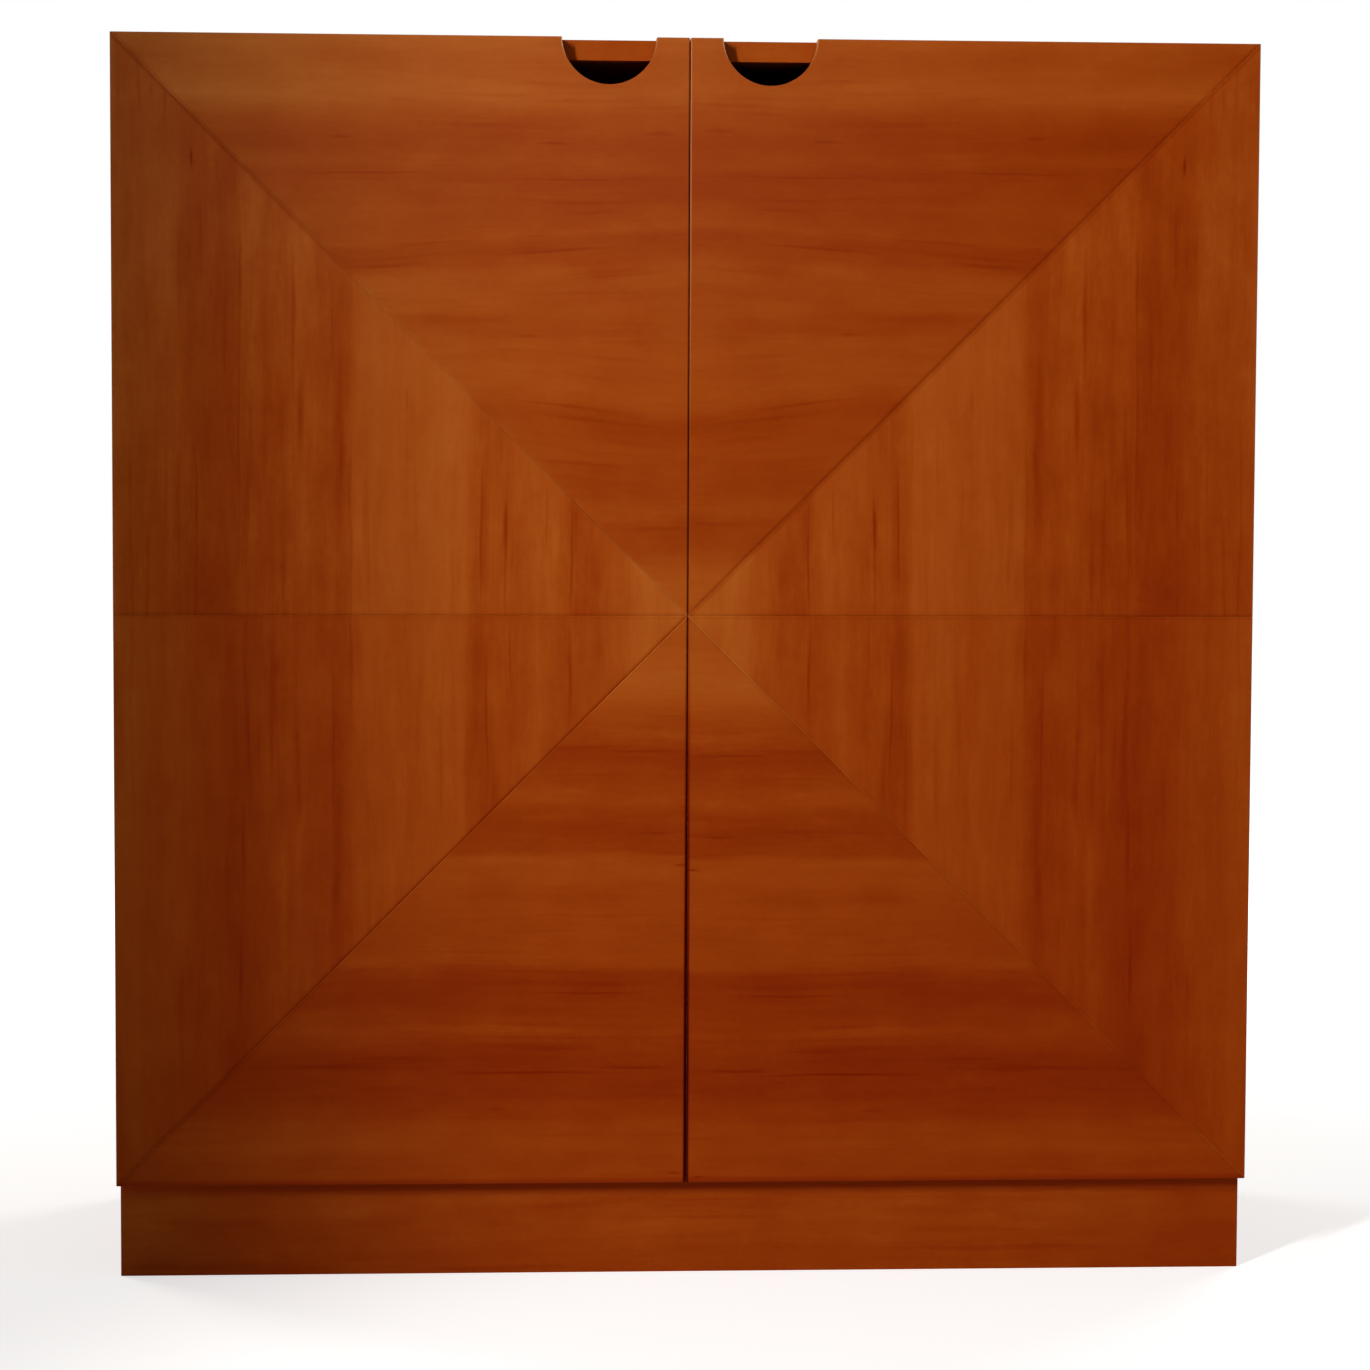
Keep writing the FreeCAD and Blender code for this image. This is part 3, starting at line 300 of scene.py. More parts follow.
# Grain of all the wood, from wide streaks to pores, and how far each layer moves the tone
BROAD = Layer(28.0, 3.6, 0.0, 2.0)
MIDDLE = Layer(85.0, 8.0, 3.1, 2.0)
FINE = Layer(380.0, 20.0, 6.7, 3.0)
MOTTLE = Layer(30.0, 18.0, 9.2, 3.0)
SPECKLE = Layer(190.0, 110.0, 15.8, 2.0)
PORES = Layer(1500.0, 46.0, 12.4, 1.0)
LINES = Layer(130.0, 4.5, 18.3, 1.0)
BROAD_WEIGHT = 0.18
MIDDLE_WEIGHT = 0.15
FINE_WEIGHT = 0.08
MOTTLE_WEIGHT = 0.19
SPECKLE_WEIGHT = 0.09
STREAKS_MEAN = 0.345         # half the sum of these five weights
PORE_WEIGHT = 0.04
LINE_WEIGHT = 0.08
PORE_LIMITS = (0.60, 0.72)   # of the noise that the pores are cut from
LINE_LIMITS = (0.58, 0.74)   # of the noise that the dark lines are cut from
LINE_PLACES = (0.40, 0.58)   # of the broad streaks that have such lines
WOOD_BUMP = 0.00012
WOOD_BUMP_STRENGTH = 0.5
WOOD_SPECULAR = 0.018

# Face leaves
TONE_SHIFT = 0.5             # keeps the tones of a ramp between 0 and 1
LEAN_SHIFT = 0.5             # keeps the slopes of a ramp between 0 and 1
SLICE = 0.09                 # how far the figure changes from one leaf of the flitch to the next
FALL_PER_METRE = 0.21        # the veneer is redder towards the floor: partly its own colour, partly painted sheen that leaves the top paler
LEAF_WANDER = Layer(4.5, 2.4, 21.0, 1.0)
LEAF_WOBBLE = Layer(34.0, 12.0, 25.0, 2.0)
WOBBLE = 0.005               # size of the small waves of the grain lines
RIGHT_SHIFT = 0.004          # the right door's leaves are cut a little further in
LEAF_ROUGHNESS = (0.42, 0.52)

# Joints between the leaves
DIRT_FROM = 0.0016           # dirt beside a joint: full up to here, and gone at the next distance
DIRT_TO = 0.0045
GROOVE_FROM = 0.0004         # groove of a joint, paler than the leaves: partly wear, partly a painted lift of the groove's own shade
GROOVE_TO = 0.0016
MITRE_CORNER = 0.12          # a mitre's dirt changes from the corner's value here, across the leaf,
MITRE_MIDDLE = 0.28          # to the middle's value here
LEVEL_DIRT = 0.055           # of the joint across the middle
LEVEL_GROOVE = -0.13

# Edges where the doors meet
MEETING_SHADE = 1.6           # painted shade in the gap between the doors, deepest at the foot
MEETING_SHADE_TOP = MID_Z + 0.08
MEETING_SHADE_FROM = 0.0003   # full up to here from the edge, and gone at the next distance
MEETING_SHADE_TO = 0.0030
MEETING_HIGHLIGHT = 0.58          # painted highlight on the meeting edges' arrises, at the top
MEETING_HIGHLIGHT_LOW = MID_Z + 0.13
MEETING_HIGHLIGHT_HIGH = TOP_Z - 0.11
MEETING_HIGHLIGHT_FROM = 0.0001   # full up to here from the edge, and gone at the next distance
MEETING_HIGHLIGHT_TO = 0.0016
LEFT_HIGHLIGHT_SHARE = 0.10            # the left door's meeting edge gets less painted highlight than the right one's, which faces the key

# Other edges of the doors
EDGE_WEAR_REACH = 0.0012
FOOT_DARKER = 0.22             # darker along the lower edges
FOOT_REACH = 0.008
RIM_FROM = 0.0003            # paleness of a finger pull's rim: full up to here, and gone at the next distance
RIM_TO = 0.0013
RIM_LOW = TOP_Z - 0.024      # the rim is hardly paler below this height
RIM_HIGH = TOP_Z - 0.004
RIM_PALENESS = (0.04, 0.85)      # at these two heights
RIM_LEFT = -0.036            # from the middle of a pull; the rim's left end is palest
RIM_RIGHT_PALENESS = 0.10

# Painted sheen at the upper left: pale grey mixed into the veneer, standing for the lacquer's reflection
# there
SHEEN_SHARE = 0.007
SHEEN_LOW = MID_Z + 0.20
SHEEN_HIGH = TOP_Z - 0.08
SHEEN_LEFT = -0.10
SHEEN_RIGHT = 0.45


def grain(graph, across, along, seed, strength=1.0):
    """Change of tone from the streaks, pores and mottle of the wood, and the fine streaks alone."""
    layers = (BROAD, MIDDLE, FINE, MOTTLE, SPECKLE, PORES, LINES)
    broad, middle, fine, mottle, speckle, pores, lines = [
        graph.streaks(across, along, layer, seed) for layer in layers
    ]
    pores = graph.step(pores, *PORE_LIMITS)
    lines = graph.math("MULTIPLY", graph.step(lines, *LINE_LIMITS), graph.step(broad, *LINE_PLACES))
    total = graph.math("MULTIPLY", broad, BROAD_WEIGHT)
    total = graph.add_scaled(total, middle, MIDDLE_WEIGHT)
    total = graph.add_scaled(total, fine, FINE_WEIGHT)
    total = graph.add_scaled(total, mottle, MOTTLE_WEIGHT)
    total = graph.add_scaled(total, speckle, SPECKLE_WEIGHT)
    total = graph.math("SUBTRACT", total, STREAKS_MEAN)
    total = graph.add_scaled(total, pores, PORE_WEIGHT)
    total = graph.add_scaled(total, lines, LINE_WEIGHT)
    return graph.math("MULTIPLY", total, strength), fine


class Leaf:
    """What sets one kind of face leaf apart from the others."""

    def __init__(self, bands, marks, seed, upright, right, wander, vigour, dirt, groove, edge_wear,
                 lean=None, pull=False):
        self.bands = bands
        self.marks = marks
        self.seed = seed
        self.upright = upright       # grain upright or level
        self.right = right           # the veneer is redder towards the right, per metre: partly its own colour, partly painted sheen that leaves the left paler
        self.wander = wander         # how far the grain lines wander
        self.vigour = vigour         # strength of the grain in pale and in deep bands
        self.dirt = dirt             # beside the mitres, for each door: at the corner, in the middle
        self.groove = groove         # tone of the mitres' grooves, in the same order
        self.edge_wear = edge_wear   # paleness of the outer edge
        self.lean = lean             # slope of the grain lines
        self.pull = pull             # whether the finger pull is in this leaf


class Spot:
    """Where a point of the doors' face is; across starts at the doors' outer, top or bottom edge."""

    def __init__(self, graph, upright):
        self.x, _, self.z = graph.place()
        self.from_middle = graph.math("ABSOLUTE", self.x)
        self.from_joint = graph.math("ABSOLUTE", graph.math("SUBTRACT", self.z, MID_Z))
        self.on_right = graph.math("GREATER_THAN", self.x, 0.0)
        if upright:
            self.across = graph.math("SUBTRACT", HALF_WIDTH, self.from_middle)
            self.along = self.from_joint
        else:
            self.across = graph.math("SUBTRACT", HALF_HEIGHT, self.from_joint)
            self.along = self.from_middle


def grain_lines(graph, leaf, spot):
    """Place across the leaf, bent as its grain lines are."""
    wander = graph.streaks(spot.across, spot.along, LEAF_WANDER, leaf.seed)
    wobble = graph.streaks(spot.across, spot.along, LEAF_WOBBLE, leaf.seed)
    bent = graph.math("SUBTRACT", spot.across, (leaf.wander + WOBBLE) * NOISE_MEAN)
    bent = graph.add_scaled(bent, wander, leaf.wander)
    bent = graph.add_scaled(bent, wobble, WOBBLE)
    bent = graph.add_scaled(bent, spot.on_right, RIGHT_SHIFT)
    if leaf.lean:
        stops = [(position / HALF_WIDTH, slope + LEAN_SHIFT) for position, slope in leaf.lean]
        shifted = graph.ramp(graph.math("DIVIDE", spot.across, HALF_WIDTH), stops)
        slope = graph.math("SUBTRACT", shifted, LEAN_SHIFT)
        # The lines turn about the points halfway from the middle of the pair to the mitre
        from_halfway = graph.math("MULTIPLY_ADD", spot.from_joint, -0.5, spot.along)
        bent = graph.math("SUBTRACT", bent, graph.math("MULTIPLY", from_halfway, slope))
    return bent


def marked(graph, across, along, marks):
    """Change of tone from single lines and flecks with soft tapered ends."""
    here = graph.node("ShaderNodeCombineXYZ", across, along, 0.0).outputs[0]
    total = 0.0
    for place, reach, thick, length, depth in marks:
        shift = (-place / thick, -reach / length, 0.0)
        scale = (1 / thick, 1 / length, 1.0)
        moved = graph.node("ShaderNodeMapping", here, shift, (0.0, 0.0, 0.0), scale).outputs[0]
        away = graph.node("ShaderNodeVectorMath", moved, operation="LENGTH").outputs["Value"]
        total = graph.math("ADD", total, graph.step(away, 0.0, 1.0, depth, 0.0))
    return total


def figure(graph, leaf, spot):
    """Tone of a leaf from its bands, grain and marks, and the fine streaks alone."""
    lines = grain_lines(graph, leaf, spot)
    stops = [(position / HALF_WIDTH, tone - TONE_SHIFT) for position, tone in leaf.bands]
    shifted = graph.ramp(graph.math("DIVIDE", lines, HALF_WIDTH), stops)
    band = graph.math("ADD", shifted, TONE_SHIFT)
    change, fine = grain(graph, lines, spot.along, leaf.seed)
    tone = graph.add_scaled(band, change, graph.step(band, HONEY, WARM, *leaf.vigour))
    tone = graph.math("ADD", tone, marked(graph, lines, spot.along, leaf.marks))
    # redder towards the floor and the right: partly the veneer's own colour, partly painted sheen at the
    # upper left
    tone = graph.add_scaled(tone, graph.math("SUBTRACT", MID_Z, spot.z), FALL_PER_METRE)
    return graph.add_scaled(tone, spot.x, leaf.right), fine


def along_mitre(graph, spot, doors):
    """Value that changes from the corner to the middle of the pair, for the left and the right door."""
    left, right = [graph.step(spot.across, MITRE_CORNER, MITRE_MIDDLE, *ends) for ends in doors]
    return graph.add_scaled(left, spot.on_right, graph.math("SUBTRACT", right, left))


def with_joints(graph, leaf, spot, tone):
    """Tone with the dirt and the paler grooves of the joints round a leaf; the grooves are partly worn,
    partly a painted lift of their own shade.
    """
    diagonal = math.hypot(HALF_WIDTH, HALF_HEIGHT)
    mitre = graph.math("MULTIPLY", spot.from_middle, HALF_HEIGHT / diagonal)
    mitre = graph.math("ABSOLUTE", graph.add_scaled(mitre, spot.from_joint, -HALF_WIDTH / diagonal))
    dirt = along_mitre(graph, spot, leaf.dirt)
    groove = along_mitre(graph, spot, leaf.groove)
    tone = graph.add_scaled(tone, graph.step(mitre, DIRT_FROM, DIRT_TO, 1.0, 0.0), dirt)
    # paler groove: partly wear, partly painted light against the groove's own shade
    tone = graph.add_scaled(tone, graph.step(mitre, GROOVE_FROM, GROOVE_TO, 1.0, 0.0), groove)
    if leaf.upright:
        tone = graph.math("ADD", tone, graph.step(spot.along, DIRT_FROM, DIRT_TO, LEVEL_DIRT, 0.0))
        tone = graph.math("ADD", tone, graph.step(spot.along, GROOVE_FROM, GROOVE_TO, LEVEL_GROOVE, 0.0))
    return tone


def meeting_edges(graph, spot, tone):
    """Tone with painted shade in the meeting edges and darker along the foot, and how much painted
    highlight the meeting edges get.
    """
    from_edge = graph.math("SUBTRACT", spot.from_middle, MEETING_X)
    # painted shade along the meeting edges, growing towards the foot
    low = graph.step(spot.z, BASE_Z, MEETING_SHADE_TOP, MEETING_SHADE, 0.0)
    tone = graph.add_scaled(tone, graph.step(from_edge, MEETING_SHADE_FROM, MEETING_SHADE_TO, 1.0, 0.0), low)
    tone = graph.math("ADD", tone, graph.step(spot.z, BASE_Z, BASE_Z + FOOT_REACH, FOOT_DARKER, 0.0))
    door_share = graph.step(spot.on_right, 0.0, 1.0, LEFT_HIGHLIGHT_SHARE, 1.0)
    arris = graph.step(from_edge, MEETING_HIGHLIGHT_FROM, MEETING_HIGHLIGHT_TO, 1.0, 0.0)
    arris = graph.math("MULTIPLY", door_share, arris)
    bright = graph.step(spot.z, MEETING_HIGHLIGHT_LOW, MEETING_HIGHLIGHT_HIGH, 0.0, MEETING_HIGHLIGHT)
    return tone, graph.math("MULTIPLY", arris, bright)


def pull_rim_paleness(graph, spot):
    """How much paler the rim of a finger pull is."""
    outward = graph.math("SUBTRACT", spot.from_middle, PULL_X)
    upward = graph.math("SUBTRACT", spot.z, PULL_Z)
    square = graph.add_scaled(graph.math("MULTIPLY", outward, outward), upward, upward)
    from_rim = graph.math("SUBTRACT", graph.math("SQRT", square), PULL_RADIUS)
    near_rim = graph.step(from_rim, RIM_FROM, RIM_TO, 1.0, 0.0)
    high = graph.step(spot.z, RIM_LOW, RIM_HIGH, *RIM_PALENESS)
    door_sign = graph.math("MULTIPLY_ADD", spot.on_right, 2.0, -1.0)
    rightward = graph.math("MULTIPLY", outward, door_sign)
    left = graph.step(rightward, RIM_LEFT, 0.0, 1.0, RIM_RIGHT_PALENESS)
    return graph.math("MULTIPLY", near_rim, graph.math("MULTIPLY", high, left))


def painted_sheen(graph, spot):
    """How much painted sheen, standing for the lacquer's reflection, the upper left gets."""
    high = graph.step(spot.z, SHEEN_LOW, SHEEN_HIGH, 0.0, SHEEN_SHARE)
    return graph.math("MULTIPLY", high, graph.step(spot.x, SHEEN_LEFT, SHEEN_RIGHT, 1.0, 0.0))


def veneer_leaf(name, leaf):
    """Face veneer of one kind of leaf, matched across the joints."""
    graph = Graph(name)
    spot = Spot(graph, leaf.upright)
    graph.slice = graph.math("MULTIPLY", spot.on_right, SLICE)
    tone, fine = figure(graph, leaf, spot)
    tone = with_joints(graph, leaf, spot, tone)
    if not leaf.upright:
        tone, meeting_highlight = meeting_edges(graph, spot, tone)
    wear = graph.step(spot.across, 0.0, EDGE_WEAR_REACH, leaf.edge_wear, 0.0)
    if leaf.pull:
        wear = graph.math("MAXIMUM", wear, pull_rim_paleness(graph, spot))
    colour = graph.gamma(VENEER, tone)
    # painted sheen at the upper left
    colour = graph.mix(painted_sheen(graph, spot), colour, SHEEN_GREY)
    if not leaf.upright:
        # painted highlight on the upper half of the meeting edges
        colour = graph.mix(meeting_highlight, colour, MEETING_HIGHLIGHT_COLOUR)
    colour = graph.mix(wear, colour, EDGE_WEAR)
    graph.bump(fine, WOOD_BUMP, WOOD_BUMP_STRENGTH)
    roughness = graph.step(fine, *NOISE_RANGE, *LEAF_ROUGHNESS)
    return graph.finish(colour, roughness, WOOD_SPECULAR)


# Boards and veneer sheets other than the face leaves
BOARD_WANDER = Layer(3.0, 1.6, 21.0, 1.0)
BOARD_WANDER_REACH = 0.03
DEPTH_SHARE = 0.35           # how fast the figure changes through the thickness
STRIPES = Layer(16.0, 0.3, 41.0, 2.0)    # bands of a quarter-cut sheet
RINGS = Layer(7.0, 1.12, 33.0, 1.0)      # year rings that a sliced sheet shows as long arches
RING_COUNT = 130.0
RING_LIMITS = (-0.6, 1.0)    # of the wave that the rings are cut from
BOARD_ROUGHNESS = (0.44, 0.54)
SHADOW_RED_SHARE = 0.60         # painted light: the doors' shadow on the plinth's top strip is painted redder and brighter
SHADOW_RED_FROM = 0.017         # that strip's lower limit under the doors, and where it is full
SHADOW_RED_TO = 0.008


def board(name, colour, across_axis, along_axes, tone, seed, strength=1.0, stripes=0.0, rings=0.0,
          specular=WOOD_SPECULAR, fades=(), shadow_red=False):
    """Board or veneer sheet; two axes along the grain add up for pieces that lie either way."""
    graph = Graph(name)
    place = graph.place()
    along = place[along_axes[0]]
    for axis in along_axes[1:]:
        along = graph.math("ADD", along, place[axis])
    depth_axis = X_AXIS + Y_AXIS + Z_AXIS - across_axis - along_axes[0]
    depth = graph.math("MULTIPLY", place[depth_axis], DEPTH_SHARE)
    across = graph.math("ADD", place[across_axis], depth)
    wander = graph.streaks(across, along, BOARD_WANDER, seed)
    lines = graph.add_scaled(across, wander, BOARD_WANDER_REACH)
    change, fine = grain(graph, lines, along, seed, strength)
    power = graph.math("ADD", change, tone)
    if stripes:
        stripe = graph.math("SUBTRACT", graph.streaks(lines, along, STRIPES, seed), NOISE_MEAN)
        power = graph.add_scaled(power, stripe, stripes)
    if rings:
        growth = graph.streaks(lines, along, RINGS, seed)
        wave = graph.math("SINE", graph.math("MULTIPLY", growth, RING_COUNT))
        power = graph.add_scaled(power, graph.step(wave, *RING_LIMITS), rings)
    for axis, start, end, tone_at_start, tone_at_end in fades:
        fade = graph.step(place[axis], start, end, tone_at_start, tone_at_end)
        power = graph.math("ADD", power, fade)
    shade = graph.gamma(colour, power)
    # The plinth's strip in the doors' shadow is painted redder and brighter
    if shadow_red:
        low = BASE_Z - SHADOW_RED_FROM
        strip = graph.step(place[Z_AXIS], low, BASE_Z - SHADOW_RED_TO, 0.0, SHADOW_RED_SHARE)
        shade = graph.mix(strip, shade, SHADOW_RED)
    graph.bump(fine, WOOD_BUMP, WOOD_BUMP_STRENGTH)
    roughness = graph.step(fine, *NOISE_RANGE, *BOARD_ROUGHNESS)
    return graph.finish(shade, roughness, specular)


# Other materials: a colour's power is a scaled noise added to the least power
CHIP_RATE = 420.0            # chips per metre
CHIP_CONTRAST = 0.7
CHIP_POWER = 0.75
CHIP_BUMP = 0.0002
CHIP_ROUGHNESS = 0.85
DULL_SPECULAR = 0.2          # of unfinished wood
STAIN_RATE = 90.0
STAIN_CONTRAST = 0.8
STAIN_POWER = 0.6
METAL_BUMP = 0.00004
METAL_BUMP_STRENGTH = 0.5
METAL_SMOOTHER = 0.06        # how far the roughness goes down, and up
METAL_ROUGHER = 0.08
SKIN_CONTRAST = 0.3
SKIN_POWER = 0.85
SKIN_BUMP = 0.00005
SKIN_ROUGHER = 0.05
COARSE_BUMP_STRENGTH = 0.6   # of chips and of moulded skin


def chipboard(name):
    """Raw board of wood chips."""
    graph = Graph(name)
    coordinates = graph.node("ShaderNodeTexCoord")
    chips = graph.node("ShaderNodeTexVoronoi", coordinates.outputs["Object"])
    chips.inputs["Scale"].default_value = CHIP_RATE
    chip = graph.node("ShaderNodeSeparateXYZ", chips.outputs["Color"]).outputs[0]
    power = graph.math("MULTIPLY_ADD", chip, CHIP_CONTRAST, CHIP_POWER)
    graph.bump(chip, CHIP_BUMP, COARSE_BUMP_STRENGTH)
    return graph.finish(graph.gamma(CHIPBOARD, power), CHIP_ROUGHNESS, DULL_SPECULAR)


def metal(name, colour, roughness, rate, drawn=1.0):
    """Metal with a fine drawn surface and slight stains."""
    graph = Graph(name)
    surface = graph.grit(rate, 2.0, drawn)
    stain = graph.grit(STAIN_RATE, 3.0)
    power = graph.math("MULTIPLY_ADD", stain, STAIN_CONTRAST, STAIN_POWER)
    graph.bump(surface, METAL_BUMP, METAL_BUMP_STRENGTH)
    rough = graph.step(surface, *NOISE_RANGE, roughness - METAL_SMOOTHER, roughness + METAL_ROUGHER)
    return graph.finish(graph.gamma(colour, power), rough, metallic=1.0)


def moulded(name, colour, roughness, rate):
    """Moulded plastic, rubber or ferrite with a fine surface texture."""
    graph = Graph(name)
    skin = graph.grit(rate, 3.0)
    power = graph.math("MULTIPLY_ADD", skin, SKIN_CONTRAST, SKIN_POWER)
    graph.bump(skin, SKIN_BUMP, COARSE_BUMP_STRENGTH)
    rough = graph.step(skin, *NOISE_RANGE, roughness - SKIN_ROUGHER, roughness + SKIN_ROUGHER)
    return graph.finish(graph.gamma(colour, power), rough)


# Face veneer of the four kinds of leaf
upper_veneer = veneer_leaf("face_veneer_upper", Leaf(
    bands=UPPER_BANDS, marks=UPPER_MARKS, seed=2.6, upright=True,
    right=0.12, wander=0.010, vigour=(0.8, 1.3),
    dirt=((0.11, 0.0), (0.12, 0.12)), groove=((-0.16, -0.15), (-0.08, 0.0)), edge_wear=0.14,
))
lower_veneer = veneer_leaf("face_veneer_lower", Leaf(
    bands=LOWER_BANDS, marks=LOWER_MARKS, seed=2.9, upright=True,
    right=0.10, wander=0.010, vigour=(0.8, 1.1),
    dirt=((0.10, 0.15), (0.045, 0.04)), groove=((-0.22, -0.14), (-0.20, -0.20)), edge_wear=0.10,
))
top_veneer = veneer_leaf("face_veneer_top", Leaf(
    bands=TOP_BANDS, marks=TOP_MARKS, seed=37.0, upright=False,
    right=0.24, wander=0.012, vigour=(0.7, 0.8),
    dirt=((0.11, 0.0), (0.12, 0.12)), groove=((-0.16, -0.15), (-0.40, -0.32)), edge_wear=0.14,
    lean=TOP_LEAN, pull=True,
))
bottom_veneer = veneer_leaf("face_veneer_bottom", Leaf(
    bands=BOTTOM_BANDS, marks=BOTTOM_MARKS, seed=71.0, upright=False,
    right=0.10, wander=0.012, vigour=(0.7, 1.0),
    dirt=((0.10, 0.03), (0.045, 0.04)), groove=((-0.15, -0.13), (-0.30, -0.24)), edge_wear=0.02,
))

# Plinth front's changes of tone: axis, start and end in metres, tone at the start and at the end
PLINTH_FADES = (
    # The left end is painted paler, a painted lift of the shade at the edge of the key's light
    (X_AXIS, -0.56, -0.45, -0.17, 0.0),
    (X_AXIS, 0.36, 0.56, 0.0, 0.09),
    (Z_AXIS, 0.0, 0.07, 0.07, 0.0),
)

# Other wood
upright = board(
    "carcass_veneer_upright", VENEER, Y_AXIS, [Z_AXIS],
    tone=1.08, seed=104.0, strength=1.1, stripes=0.45,
)
level = board(
    "carcass_veneer_level", VENEER, Y_AXIS, [X_AXIS],
    tone=1.04, seed=131.0, strength=1.1, stripes=0.45,
)
# Its top strip, in the doors' shadow, is painted redder and brighter
plinth_face = board(
    "plinth_veneer_face", VENEER, Z_AXIS, [X_AXIS],
    tone=1.12, seed=163.0, fades=PLINTH_FADES, shadow_red=True,
)
plinth_long = board("plinth_veneer_long", VENEER, Z_AXIS, [X_AXIS], tone=1.12, seed=163.0)
plinth_short = board("plinth_veneer_short", VENEER, Z_AXIS, [Y_AXIS], tone=1.12, seed=187.0)
edging = board("door_edging_wood", EDGING, Y_AXIS, [X_AXIS, Z_AXIS], tone=1.0, seed=211.0, strength=0.6)
door_back = board(
    "door_back_wood", VENEER, X_AXIS, [Z_AXIS],
    tone=1.02, seed=239.0, stripes=0.30, rings=0.04,
)
plywood = board("back_plywood", PLYWOOD, X_AXIS, [Z_AXIS], tone=0.98, seed=263.0, strength=0.8, rings=0.10)
beech = board(
    "plain_beech", BEECH, Y_AXIS, [X_AXIS, Z_AXIS],
    tone=1.0, seed=287.0, strength=0.7, specular=DULL_SPECULAR,
)
core = chipboard("core_chipboard")

# Metal, plastic and rubber
nickel = metal("hinge_nickel_plate", NICKEL, roughness=0.26, rate=900.0, drawn=0.15)
zinc = metal("screw_zinc", ZINC, roughness=0.36, rate=1400.0)
steel = metal("strike_plate_steel", STEEL, roughness=0.34, rate=1200.0, drawn=0.1)
plastic = moulded("catch_brown_plastic", CATCH_BROWN, roughness=0.42, rate=2500.0)
ferrite = moulded("magnet_ferrite", FERRITE, roughness=0.55, rate=3200.0)
rubber = moulded("bumper_soft_rubber", RUBBER, roughness=0.5, rate=2800.0)

# Which node wears which material
FINISH = {
    "left_side": upright, "right_side": upright, "centre_partition": upright,
    "top_panel": level, "bottom_panel": level, "back_panel": plywood,
    "back_panel_screws": zinc, "mitre_tongues": beech, "carcass_dowels": beech,
    "plinth_front": plinth_face, "plinth_back": plinth_long,
    "plinth_left": plinth_short, "plinth_right": plinth_short,
    "plinth_cross_rail": beech, "plinth_corner_blocks": beech, "plinth_screws": zinc,
    "catch_bodies": plastic, "catch_magnets": ferrite, "catch_screws": zinc,
}
PAIR_FINISH = {
    "shelf_supports": nickel, "hinge_plates": nickel, "hinge_plate_screws": zinc,
    "hinge_arms": nickel, "hinge_arm_screws": zinc, "hinge_cups": nickel, "hinge_pins": zinc,
    "hinge_cup_screws": zinc, "door_core": core, "door_edging": edging, "door_back_veneer": door_back,
    "door_bumpers": rubber, "strike_plate": steel, "strike_screw": zinc,
    "shelf_1": level, "shelf_2": level,
    "door_top_leaf": top_veneer, "door_upper_leaf": upper_veneer,
    "door_lower_leaf": lower_veneer, "door_bottom_leaf": bottom_veneer,
}
for name, material in PAIR_FINISH.items():
    FINISH["left_" + name] = material
    FINISH["right_" + name] = material
for name, piece in nodes.items():
    if not piece.material_slots:
        piece.data.materials.append(FINISH[name])
    for slot in piece.material_slots:
        slot.material = FINISH[name]


def light_path_max(tree):
    """1 for rays that show the background: straight, mirrored and through glass."""
    path = tree.nodes.new("ShaderNodeLightPath")
    either = tree.nodes.new("ShaderNodeMath")
    either.operation = "MAXIMUM"
    tree.links.new(path.outputs["Is Camera Ray"], either.inputs[0])
    tree.links.new(path.outputs["Is Glossy Ray"], either.inputs[1])
    shown = tree.nodes.new("ShaderNodeMath")
    shown.operation = "MAXIMUM"
    tree.links.new(either.outputs[0], shown.inputs[0])
    tree.links.new(path.outputs["Is Transmission Ray"], shown.inputs[1])
    return shown.outputs[0]


# Floor, which glows so that it is white away from the cabinet
FLOOR_HALF = 12.0
FLOOR_ROUGHNESS = 0.9
FLOOR_GLOW = 0.62            # near the cabinet, so that its shadow shows
FADE_FROM = 0.9              # distances from the middle between which the glow grows to white
FADE_TO = 2.4
floor_mesh = bpy.data.meshes.new("floor")
floor_build = bmesh.new()
bmesh.ops.create_grid(floor_build, x_segments=2, y_segments=2, size=FLOOR_HALF)
floor_build.to_mesh(floor_mesh)
floor_build.free()
floor = bpy.data.objects.new("floor", floor_mesh)
bpy.context.scene.collection.objects.link(floor)
floor_graph = Graph("pale_floor")
floor_material = floor_graph.finish(FLOOR, FLOOR_ROUGHNESS, specular=0.0)
floor_graph.shader.inputs["Emission Color"].default_value = WHITE
floor_x, floor_y, _ = floor_graph.place()
floor_square = floor_graph.math("MULTIPLY", floor_x, floor_x)
floor_square = floor_graph.add_scaled(floor_square, floor_y, floor_y)
floor_away = floor_graph.math("SQRT", floor_square)
floor_fade = floor_graph.step(floor_away, FADE_FROM, FADE_TO, FLOOR_GLOW, 1.0)
floor_glow = floor_graph.math("MULTIPLY", light_path_max(floor_graph.tree), floor_fade)
floor_graph.put(floor_graph.shader.inputs["Emission Strength"], floor_glow)
floor_mesh.materials.append(floor_material)

# World: white behind the object, and a weaker even light on it
SKY_LIGHT = 0.22
world = bpy.data.worlds.new("studio")
world.use_nodes = True
bpy.context.scene.world = world
background = world.node_tree.nodes["Background"]
background.inputs["Color"].default_value = WHITE
sky = world.node_tree.nodes.new("ShaderNodeMapRange")
sky.inputs["To Min"].default_value = SKY_LIGHT
sky.inputs["To Max"].default_value = 1.0
world.node_tree.links.new(light_path_max(world.node_tree), sky.inputs["Value"])
world.node_tree.links.new(sky.outputs[0], background.inputs["Strength"])


def aim(thing, place, target):
    """Put a lamp into the scene, pointed at a target."""
    thing.location = Vector(place)
    thing.rotation_euler = (Vector(target) - Vector(place)).to_track_quat("-Z", "Y").to_euler()
    bpy.context.scene.collection.objects.link(thing)


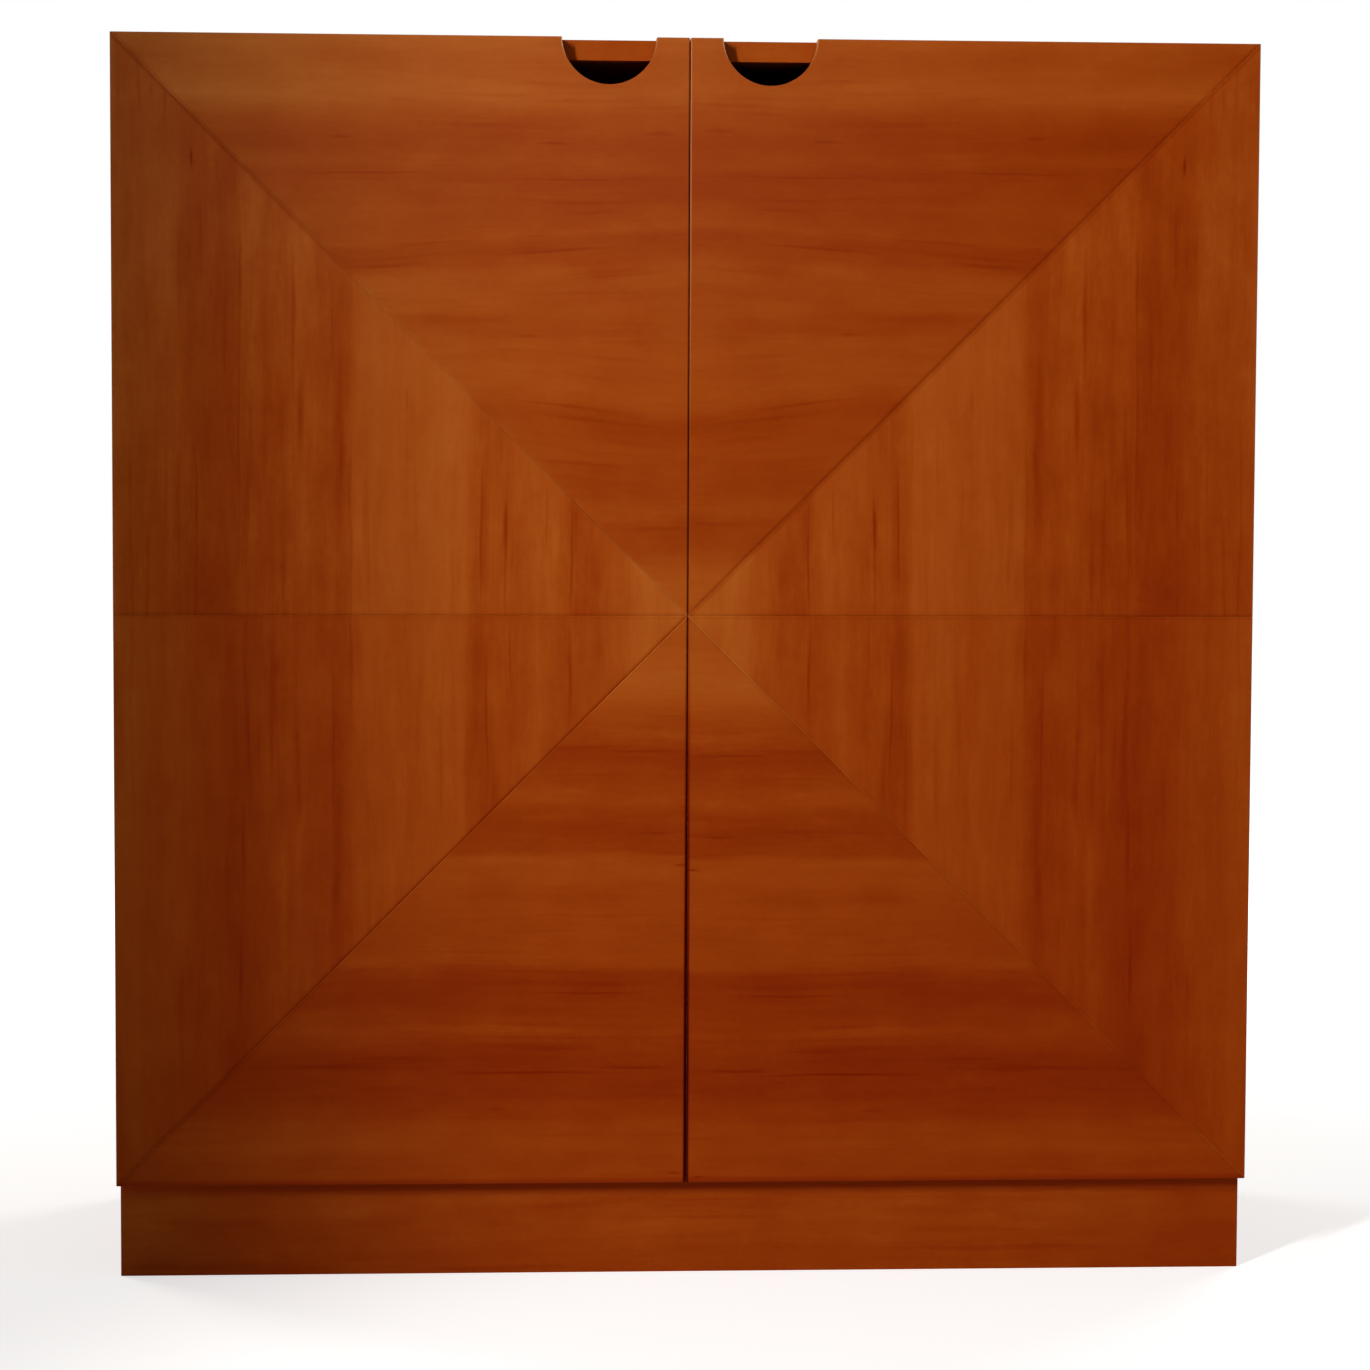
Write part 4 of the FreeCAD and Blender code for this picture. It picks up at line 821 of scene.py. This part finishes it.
# Key light like a tall window at the upper left; the edge of its light crosses the left of the doors
KEY_X = -3.38
KEY_Y = -5.28
KEY_HEIGHTS = (2.45, 2.90, 3.35, 3.80)
KEY_POWER = 378.0
KEY_RADIUS = 0.22
KEY_CONE = math.radians(92.1)
KEY_BLEND = 0.085
EDGE_ANGLE = math.radians(45.0)
EDGE_HIGH = Vector((-0.428, -0.220, 1.160))
EDGE_LOW = Vector((-0.380, -0.220, 0.160))
for number, height in enumerate(KEY_HEIGHTS):
    key_place = Vector((KEY_X, KEY_Y, height))
    to_high = (EDGE_HIGH - key_place).normalized()
    to_low = (EDGE_LOW - key_place).normalized()
    to_edge = (to_high + to_low).normalized()
    inward = to_edge.cross((to_high - to_low).normalized())
    axis = to_edge * math.cos(EDGE_ANGLE) + inward * math.sin(EDGE_ANGLE)
    key = bpy.data.lights.new("key_%d" % number, "SPOT")
    key.energy = KEY_POWER
    key.spot_size = KEY_CONE
    key.spot_blend = KEY_BLEND
    key.shadow_soft_size = KEY_RADIUS
    aim(bpy.data.objects.new("key_%d" % number, key), key_place, key_place + axis)

# Soft light on the back and the sides, which the key doesn't reach: name, place and power
REAR_LAMPS = (
    ("rear_right", (2.6, 3.0, 2.4), 70.0),
    ("rear_left", (-2.8, 2.4, 2.0), 60.0),
)
REAR_SIZE = 1.6
REAR_TARGET = (0.0, 0.2, 0.7)
for lamp_name, lamp_place, lamp_power in REAR_LAMPS:
    lamp = bpy.data.lights.new(lamp_name, "AREA")
    lamp.energy = lamp_power
    lamp.size = REAR_SIZE
    aim(bpy.data.objects.new(lamp_name, lamp), lamp_place, REAR_TARGET)

# Camera, from the photograph's viewpoint
CAMERA_PLACE = (-0.2102, -3.8166, 0.8303)
CAMERA_YAW = math.radians(-3.302)
CAMERA_PITCH = math.radians(-3.677)
CAMERA_ROLL = math.radians(0.25)
CAMERA_LENS = 94.885
CAMERA_SENSOR = 36.0
CAMERA_FAR = 100.0
camera = bpy.data.cameras.new("camera")
camera.sensor_fit = "HORIZONTAL"
camera.sensor_width = CAMERA_SENSOR
camera.lens = CAMERA_LENS
camera.clip_end = CAMERA_FAR
forward = Vector((
    -math.sin(CAMERA_YAW) * math.cos(CAMERA_PITCH),
    math.cos(CAMERA_YAW) * math.cos(CAMERA_PITCH),
    math.sin(CAMERA_PITCH),
))
level_right = Vector((math.cos(CAMERA_YAW), math.sin(CAMERA_YAW), 0.0))
level_up = level_right.cross(forward)
right = level_right * math.cos(CAMERA_ROLL) + level_up * math.sin(CAMERA_ROLL)
up = level_up * math.cos(CAMERA_ROLL) - level_right * math.sin(CAMERA_ROLL)
turn = Matrix((right, up, -forward)).transposed()
camera_object = bpy.data.objects.new("camera", camera)
camera_object.matrix_world = Matrix.Translation(Vector(CAMERA_PLACE)) @ turn.to_4x4()
bpy.context.scene.collection.objects.link(camera_object)
bpy.context.scene.camera = camera_object

bpy.context.scene.view_settings.view_transform = "Standard"
